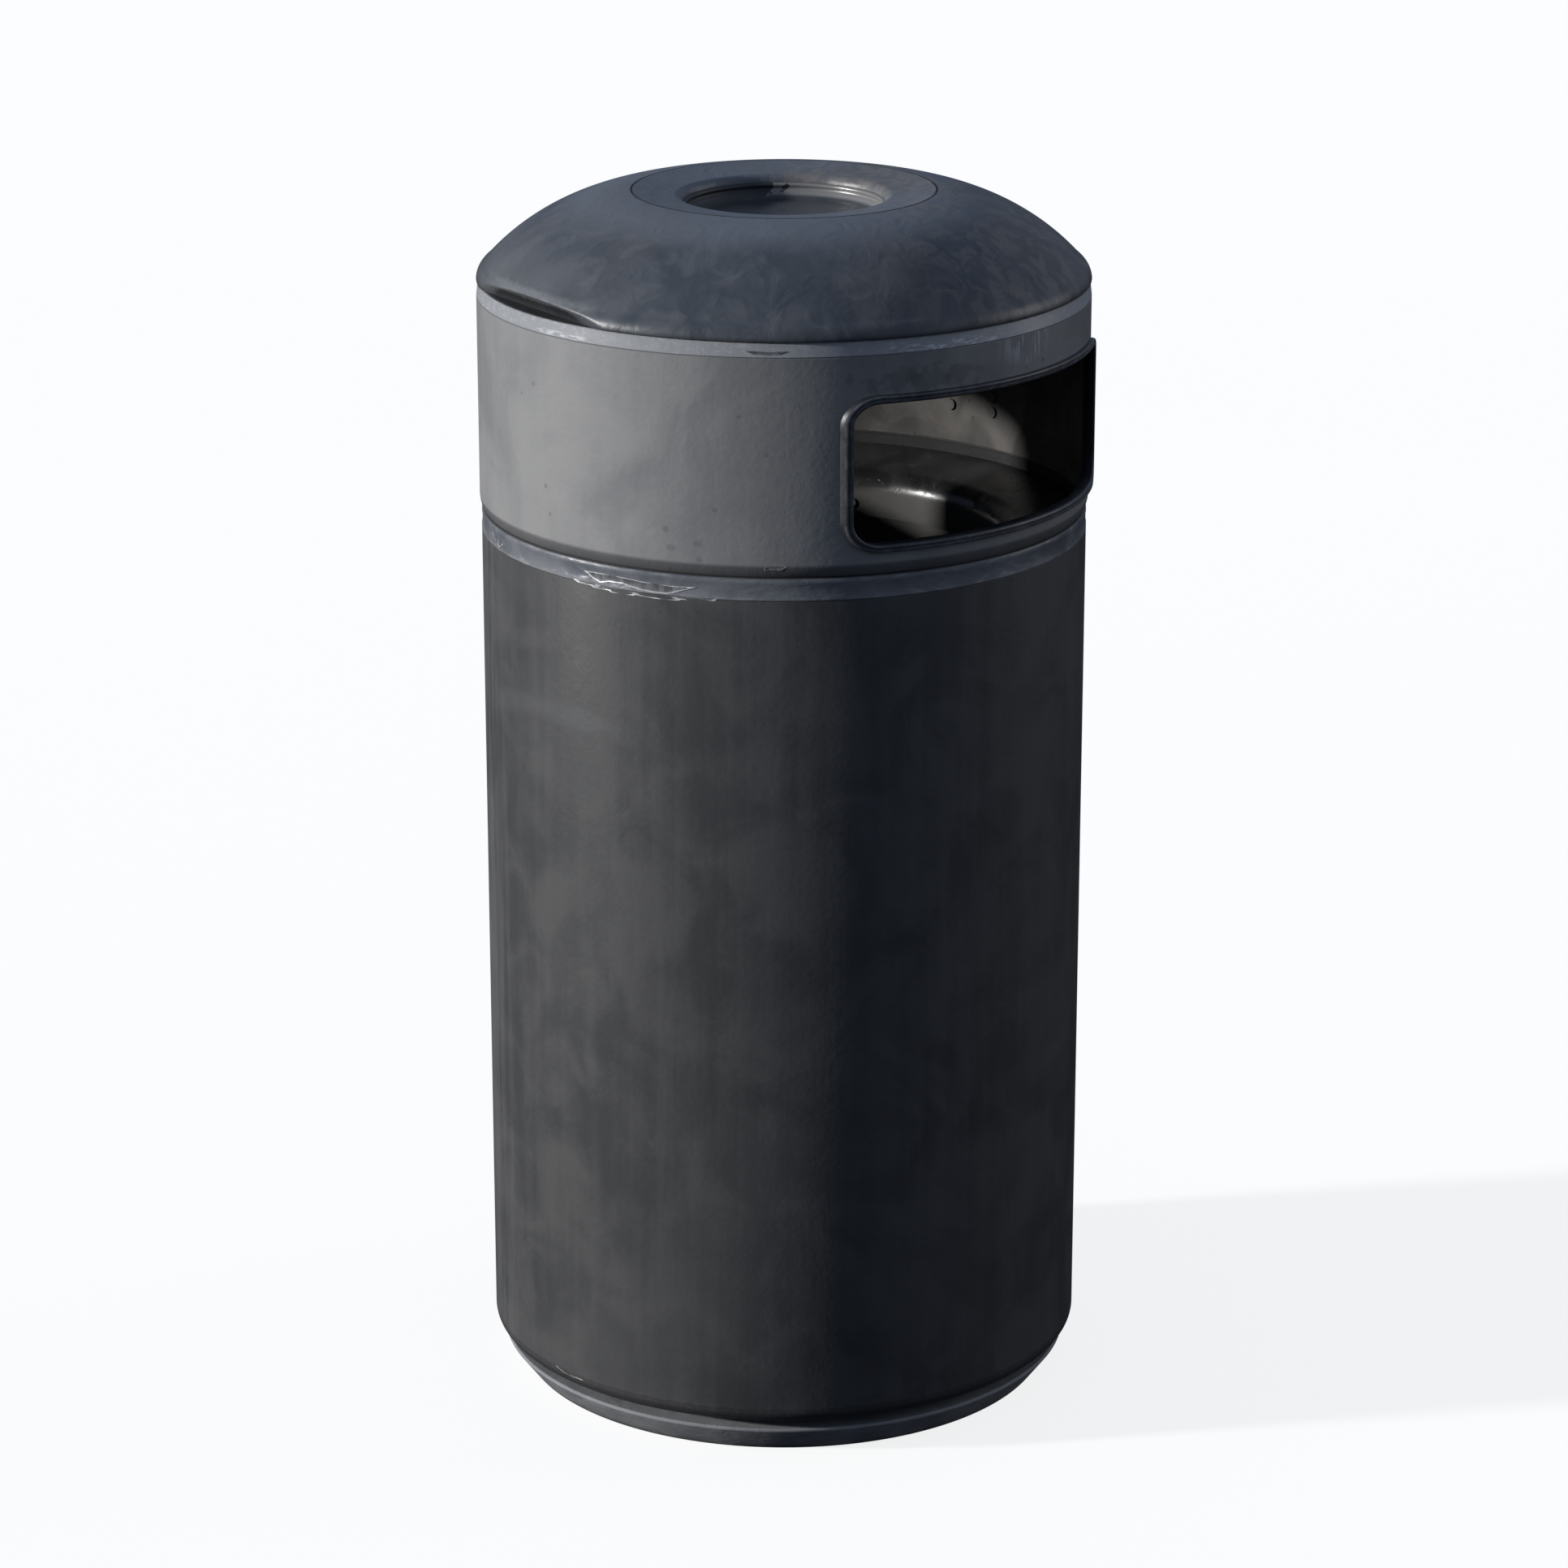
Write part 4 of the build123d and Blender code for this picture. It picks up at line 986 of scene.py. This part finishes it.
# %% Body, band and plinth paints
def body_paint():
    """Charcoal paint with cloudy smudges, rain streaks with a painted sheen at the lit left side, one long
    faint smear and painted shade on the rolled foot.
    """
    recipe = Recipe("body_paint")
    radius, angle, z = recipe.polar()
    tone, grains, streaks = weather(recipe, cloud=0.075, streak=0.3, cloud_warp=0.9)
    blots = recipe.noise(0.30, 4, shift=(5, 5, 2))
    colour = recipe.blend(recipe.ramp(tone, 0.34, 0.66), (0.056, 0.057, 0.059), (0.084, 0.084, 0.085))
    colour = recipe.blend(recipe.ramp(blots, 0.48, 0.66) * 0.4, colour, (0.095, 0.095, 0.097))
    # Partly painted sheen: light rain streaks are put only near the lit left edge, where they also stand for
    # the key lamp's grazing sheen.
    side = recipe.ramp(angle, radians(-58), radians(-80))
    colour = recipe.blend(side * recipe.ramp(streaks, 0.42, 0.60) * 0.3, colour, (0.140, 0.142, 0.148))
    arc_z = 0.694 - (angle + radians(46)) ** 2 * 0.09
    smear = recipe.ramp(abs(z - arc_z) + (tone - 0.5) * 0.04, 14 * MM, 2 * MM)
    smear = smear * recipe.ramp(angle, radians(-74), radians(-66))
    smear = smear * recipe.ramp(angle, radians(-22), radians(-34))
    colour = recipe.blend(smear * 0.16, colour, (0.17, 0.17, 0.175))
    # Painted shade: the rolled foot is painted darker, as the shade under the roll and in the gap above the
    # plinth.
    roll = recipe.ramp(z, BODY_BOTTOM + 13 * MM, BODY_BOTTOM + 9 * MM)
    colour = recipe.blend(roll * 0.7, colour, (0.036, 0.036, 0.038))
    line = abs(z - (BODY_BOTTOM + 13 * MM)) + (grains - 0.5) * 0.004
    line = recipe.ramp(line, 2.2 * MM, 0.6 * MM)
    colour = recipe.blend(line * 0.5, colour, (0.035, 0.035, 0.036))
    inside = recipe.ramp(radius, BODY_R - 2.4 * MM, BODY_R - 3.2 * MM)
    colour = recipe.blend(inside, colour, (0.07, 0.07, 0.07))
    roughness = 0.52 + (tone - 0.5) * 0.45 + (blots - 0.5) * 0.25
    return recipe.finish(colour, roughness, [(tone, 0.0008), (grains, 0.00010)], shine=0.14)


def band_paint():
    """The band's blue-grey paint, polished bright where hands and the hood have rubbed it, with a painted
    highlight along its lower step and painted shade under the hood's edge.
    """
    recipe = Recipe("band_paint")
    radius, angle, z = recipe.polar()
    tone, grains, _ = weather(recipe, cloud=0.05, streak=0.1)
    scuffs = recipe.noise(0.02, 6, stretch=(1, 1, 2.5), warp=0.7)
    colour = recipe.blend(recipe.ramp(tone, 0.36, 0.64), (0.120, 0.130, 0.150), (0.180, 0.190, 0.210))
    # Partly painted highlight: the band's lower step is paler, both scuffed wear and a painted highlight where
    # the step catches the light.
    lower_wear_and_glint = recipe.ramp(z, BAND_BOTTOM + 5 * MM, BAND_BOTTOM + 1 * MM)
    lower_wear_and_glint = lower_wear_and_glint * (0.35 + recipe.ramp(scuffs, 0.45, 0.62) * 0.6)
    colour = recipe.blend(lower_wear_and_glint, colour, (0.30, 0.305, 0.31))
    rubbed = recipe.ramp(scuffs, 0.52, 0.70)
    colour = recipe.blend(rubbed * 0.5, colour, (0.33, 0.34, 0.36))
    # Painted shade: the top of the band, under the hood's curled edge, is painted darker.
    under_hood_shade = recipe.ramp(z, BAND_TOP - 1.6 * MM, BAND_TOP - 0.6 * MM)
    colour = recipe.blend(under_hood_shade * 0.6, colour, (0.06, 0.062, 0.066))
    inside = recipe.ramp(radius, BODY_R - 2.0 * MM, BODY_R - 2.8 * MM)
    colour = recipe.blend(inside * 0.92, colour, (0.016, 0.015, 0.014))
    roughness = 0.36 + (scuffs - 0.5) * 0.4 + (tone - 0.5) * 0.2 + inside * 0.6
    metallic = rubbed * (1 - inside) * 0.35
    return recipe.finish(colour, roughness, [(scuffs, 0.0007), (grains, 0.00012)], metallic, 0.3)


def plinth_paint():
    """Mid grey paint, dusty, with a paler upper edge, partly dust and partly a painted highlight, and darker
    towards the ground.
    """
    recipe = Recipe("plinth_paint")
    _, _, z = recipe.polar()
    tone, grains, _ = weather(recipe, cloud=0.06, streak=0.1)
    smears = recipe.noise(0.03, 5, stretch=(1, 1, 3), warp=0.6)
    colour = recipe.blend(recipe.ramp(tone, 0.34, 0.66), (0.165, 0.172, 0.185), (0.240, 0.245, 0.255))
    colour = recipe.blend(recipe.ramp(smears, 0.46, 0.66) * 0.5, colour, (0.30, 0.30, 0.305))
    # Partly painted highlight: the upper edge is paler, both dust and a painted highlight where it faces up.
    edge = recipe.ramp(z + (grains - 0.5) * 0.002, SKIRT_TOP - 3.6 * MM, SKIRT_TOP - 1.8 * MM)
    colour = recipe.blend(edge * 0.55, colour, (0.36, 0.37, 0.38))
    ground = recipe.ramp(z + (smears - 0.5) * 0.01, 6 * MM, 1 * MM)
    colour = recipe.blend(ground * 0.6, colour, (0.07, 0.068, 0.065))
    roughness = 0.55 + (smears - 0.5) * 0.3
    return recipe.finish(colour, roughness, [(smears, 0.0008), (grains, 0.00015)])


body_material = body_paint()
band_material = band_paint()
plinth_material = plinth_paint()
print("body, band and plinth paints")


# %% [markdown]
# The dark finishes are the shadow gap's matt paint, near-black partly as painted shade in the gap and also laid
# on the hood's top ring as painted shade inside the lid's dent, the trims' near-black paint rubbed grey on its
# outer ridge, the glossier funnel inside and the rubber seal. They are dark, so their roughness and relief say
# more than their colour.


# %% Dark finishes
def dark_finish(name, dark, light, rough, size, depth):
    """A dark surface with two tones, uneven gloss and fine relief."""
    recipe = Recipe(name)
    tone = recipe.noise(size, 5, warp=0.5)
    grains = recipe.noise(size / 8, 3)
    colour = recipe.blend(recipe.ramp(tone, 0.36, 0.66), dark, light)
    roughness = rough + (tone - 0.5) * 0.3
    return recipe.finish(colour, roughness, [(tone, depth), (grains, depth / 5)])


def trim_paint():
    recipe = Recipe("trim_paint")
    radius, _, _ = recipe.polar()
    tone = recipe.noise(0.03, 4)
    grains = recipe.noise(0.004, 3)
    colour = recipe.blend(recipe.ramp(tone, 0.36, 0.66), (0.016, 0.018, 0.022), (0.030, 0.033, 0.039))
    crest = recipe.ramp(radius, HOOD_R + 3.6 * MM, HOOD_R + 4.6 * MM)
    chips = recipe.ramp(recipe.noise(0.012, 5, warp=0.6), 0.44, 0.60)
    colour = recipe.blend(crest * (0.45 + chips * 0.45), colour, (0.130, 0.136, 0.146))
    inner = recipe.ramp(radius, HOOD_R - 1 * MM, HOOD_R - 3 * MM)
    colour = recipe.blend(inner * 0.7, colour, (0.008, 0.008, 0.009))
    roughness = 0.40 + (tone - 0.5) * 0.3 + (grains - 0.5) * 0.15
    return recipe.finish(colour, roughness, [(tone, 0.0004), (grains, 0.0001)])


def rim_paint():
    recipe = Recipe("rim_paint")
    _, _, z = recipe.polar()
    tone = recipe.noise(0.05, 5, warp=0.8)
    scuffs = recipe.ramp(recipe.noise(0.009, 5, stretch=(1, 1, 2), warp=1.2), 0.60, 0.72)
    colour = recipe.blend(recipe.ramp(tone, 0.36, 0.66), (0.014, 0.014, 0.015), (0.034, 0.034, 0.035))
    colour = recipe.blend(scuffs * 0.25, colour, (0.12, 0.116, 0.112))
    throat = recipe.ramp(z + (tone - 0.5) * 0.01, RIM_TOP - 25 * MM, RIM_TOP - 34 * MM)
    colour = recipe.blend(throat * 0.8, colour, (0.046, 0.044, 0.042))
    roughness = 0.27 + (tone - 0.5) * 0.25 + throat * 0.4
    return recipe.finish(colour, roughness, [(tone, 0.0008), (scuffs, 0.0001)])


recess_and_shade_material = dark_finish("recess_paint", (0.014, 0.015, 0.017), (0.026, 0.027, 0.030), 0.6, 0.03, 0.0004)
seal_material = dark_finish("seal_rubber", (0.010, 0.010, 0.011), (0.020, 0.020, 0.021), 0.7, 0.01, 0.0002)
trim_material = trim_paint()
rim_material = rim_paint()
print("dark finishes")

# %% [markdown]
# The bare metals: dull zinc with its pale and dark crystals, plated steel with fine tumbling marks, the ash
# dish burnt dark with a dark irregular pool over the left of its floor, and a tarnished brass lock.


# %% Metals
def zinc_finish():
    recipe = Recipe("zinc")
    radius, _, _ = recipe.polar()
    flakes = recipe.number(
        "ShaderNodeTexVoronoi", "Color", {"distance": "MANHATTAN"}, {"Vector": recipe.place, "Scale": 95.0}
    )
    dull = recipe.noise(0.06, 5, warp=0.5)
    drag = recipe.noise(0.010, 4, stretch=(1, 1, 0.08))
    colour = recipe.blend(recipe.ramp(dull, 0.36, 0.66), (0.19, 0.185, 0.178), (0.30, 0.295, 0.285))
    colour = recipe.blend(flakes * 0.25, colour, (0.36, 0.355, 0.345))
    colour = recipe.blend(recipe.ramp(drag, 0.52, 0.68) * 0.45, colour, (0.12, 0.115, 0.108))
    grime = recipe.ramp(radius, 208.8 * MM, 208.4 * MM)
    grimy = recipe.blend(recipe.ramp(dull, 0.36, 0.66), (0.034, 0.033, 0.031), (0.062, 0.060, 0.057))
    colour = recipe.blend(grime * 0.97, colour, grimy)
    roughness = 0.50 + (dull - 0.5) * 0.4 + grime * 0.35
    return recipe.finish(colour, roughness, [(dull, 0.0010), (drag, 0.0003)], 0.35 - grime * 0.35)


def plated_finish(name, dark, light, rust):
    recipe = Recipe(name)
    tone = recipe.noise(0.012, 5)
    marks = recipe.noise(0.0015, 3)
    colour = recipe.blend(recipe.ramp(tone, 0.36, 0.64), dark, light)
    colour = recipe.blend(recipe.ramp(recipe.noise(0.02, 5, shift=(2, 0, 1)), 0.56, 0.70) * 0.7, colour, rust)
    roughness = 0.34 + (tone - 0.5) * 0.4
    return recipe.finish(colour, roughness, [(marks, 0.00006), (tone, 0.0002)], 0.85)


def dish_finish():
    """Burnt steel: a dark irregular pool on the left of the floor, bare bright wall at the right."""
    recipe = Recipe("dish_steel")
    radius, angle, z = recipe.polar()
    heat = recipe.noise(0.05, 5, warp=0.6)
    grains = recipe.noise(0.003, 3)
    colour = recipe.blend(recipe.ramp(heat, 0.36, 0.66), (0.044, 0.049, 0.057), (0.074, 0.079, 0.088))
    wobble = (recipe.noise(0.035, 3, warp=0.3) - 0.5) * 0.14
    side = angle.calc("SINE", angle) * radius + wobble
    dark_pool = recipe.ramp(side, -16 * MM, -18 * MM)
    colour = recipe.blend(dark_pool * 0.55, colour, (0.030, 0.033, 0.038))
    wall = recipe.ramp(z, dish_floor + 2 * MM, dish_floor + 5 * MM)
    colour = recipe.blend(wall * (1 - dark_pool) * 0.8, colour, (0.29, 0.285, 0.28))
    roughness = 0.34 + (heat - 0.5) * 0.3 + dark_pool * 0.15
    return recipe.finish(colour, roughness, [(heat, 0.0006), (grains, 0.00008)], wall * 0.3)


def knock_finish(name, floor_tones, burr_tone, burr_metal):
    """A burr in its own tone round a sunken floor."""
    recipe = Recipe(name)
    radius, _, z = recipe.polar()
    grains = recipe.noise(0.002, 4)
    tone = recipe.noise(0.006, 4, stretch=(1, 1, 0.4))
    wall_r = recipe.ramp(z, HOOD_BOTTOM - 1 * MM, HOOD_BOTTOM) * (HOOD_R - BODY_R) + BODY_R
    high = recipe.ramp(radius - wall_r + (tone - 0.5) * 0.0002, -0.02 * MM, 0.10 * MM)
    colour = recipe.blend(recipe.ramp(tone, 0.4, 0.6), *floor_tones)
    colour = recipe.blend(high * 0.95, colour, burr_tone)
    roughness = 0.36 + (grains - 0.5) * 0.3
    return recipe.finish(colour, roughness, [(grains, 0.0001), (tone, 0.0003)], high * burr_metal)


zinc_material = zinc_finish()
steel_material = plated_finish("steel", (0.34, 0.34, 0.345), (0.50, 0.50, 0.505), (0.16, 0.10, 0.07))
brass_material = plated_finish("brass", (0.36, 0.27, 0.13), (0.50, 0.39, 0.20), (0.14, 0.11, 0.07))
dish_material = dish_finish()
torn_material = knock_finish(
    "torn_paint", ((0.110, 0.114, 0.122), (0.200, 0.205, 0.215)), (0.70, 0.71, 0.72), 0.3
)
chipped_material = knock_finish(
    "chipped_paint", ((0.006, 0.006, 0.006), (0.016, 0.016, 0.016)), (0.07, 0.07, 0.07), 0
)
print("metals")

# %% [markdown]
# Now every surface gets its finish. The new pieces take one material each, and the CAD nodes that
# stay, such as the hinge, the lock and the handles, take the same ones by their record slots.

# %% Assign the finishes
SLOT_FINISH = {
    "lid_paint": lid_material,
    "hood_paint": hood_material,
    "body_paint": body_material,
    "band_paint": band_material,
    "plinth_paint": plinth_material,
    "recess_paint": recess_and_shade_material,
    "trim_paint": trim_material,
    "rim_paint": rim_material,
    "zinc": zinc_material,
    "steel": steel_material,
    "dish_steel": dish_material,
    "brass": brass_material,
    "seal_rubber": seal_material,
}


def dress(piece, material):
    """Gives the whole piece one material."""
    if not piece.material_slots:
        piece.data.materials.append(material)
    for material_slot in piece.material_slots:
        material_slot.material = material


for subpart in frame["record"]["subparts"]:
    dress(frame["nodes"][subpart["node"]], SLOT_FINISH[subpart["material_slot"]])
new_pieces = (lid, tray, dish, hood, front, rear, body, band, skirt, neck, rim, can, seal)
for piece in new_pieces:
    dress(piece, SLOT_FINISH[piece["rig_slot"]])
dress(body_marks, torn_material)
dress(hood_marks, torn_material)
dress(foot_marks, chipped_material)
# Painted shade: the hood's zinc top ring takes the near-black recess finish, as the shade inside the lid's
# dent.
dress(frame["nodes"]["hood_top_ring"], recess_and_shade_material)
dress(frame["nodes"]["hinge_upper_rivets"], hood_material)
dress(frame["nodes"]["hinge_lower_rivets"], body_material)
print("finishes on", len(frame["nodes"]), "nodes,", len(new_pieces), "new pieces and the knocks")
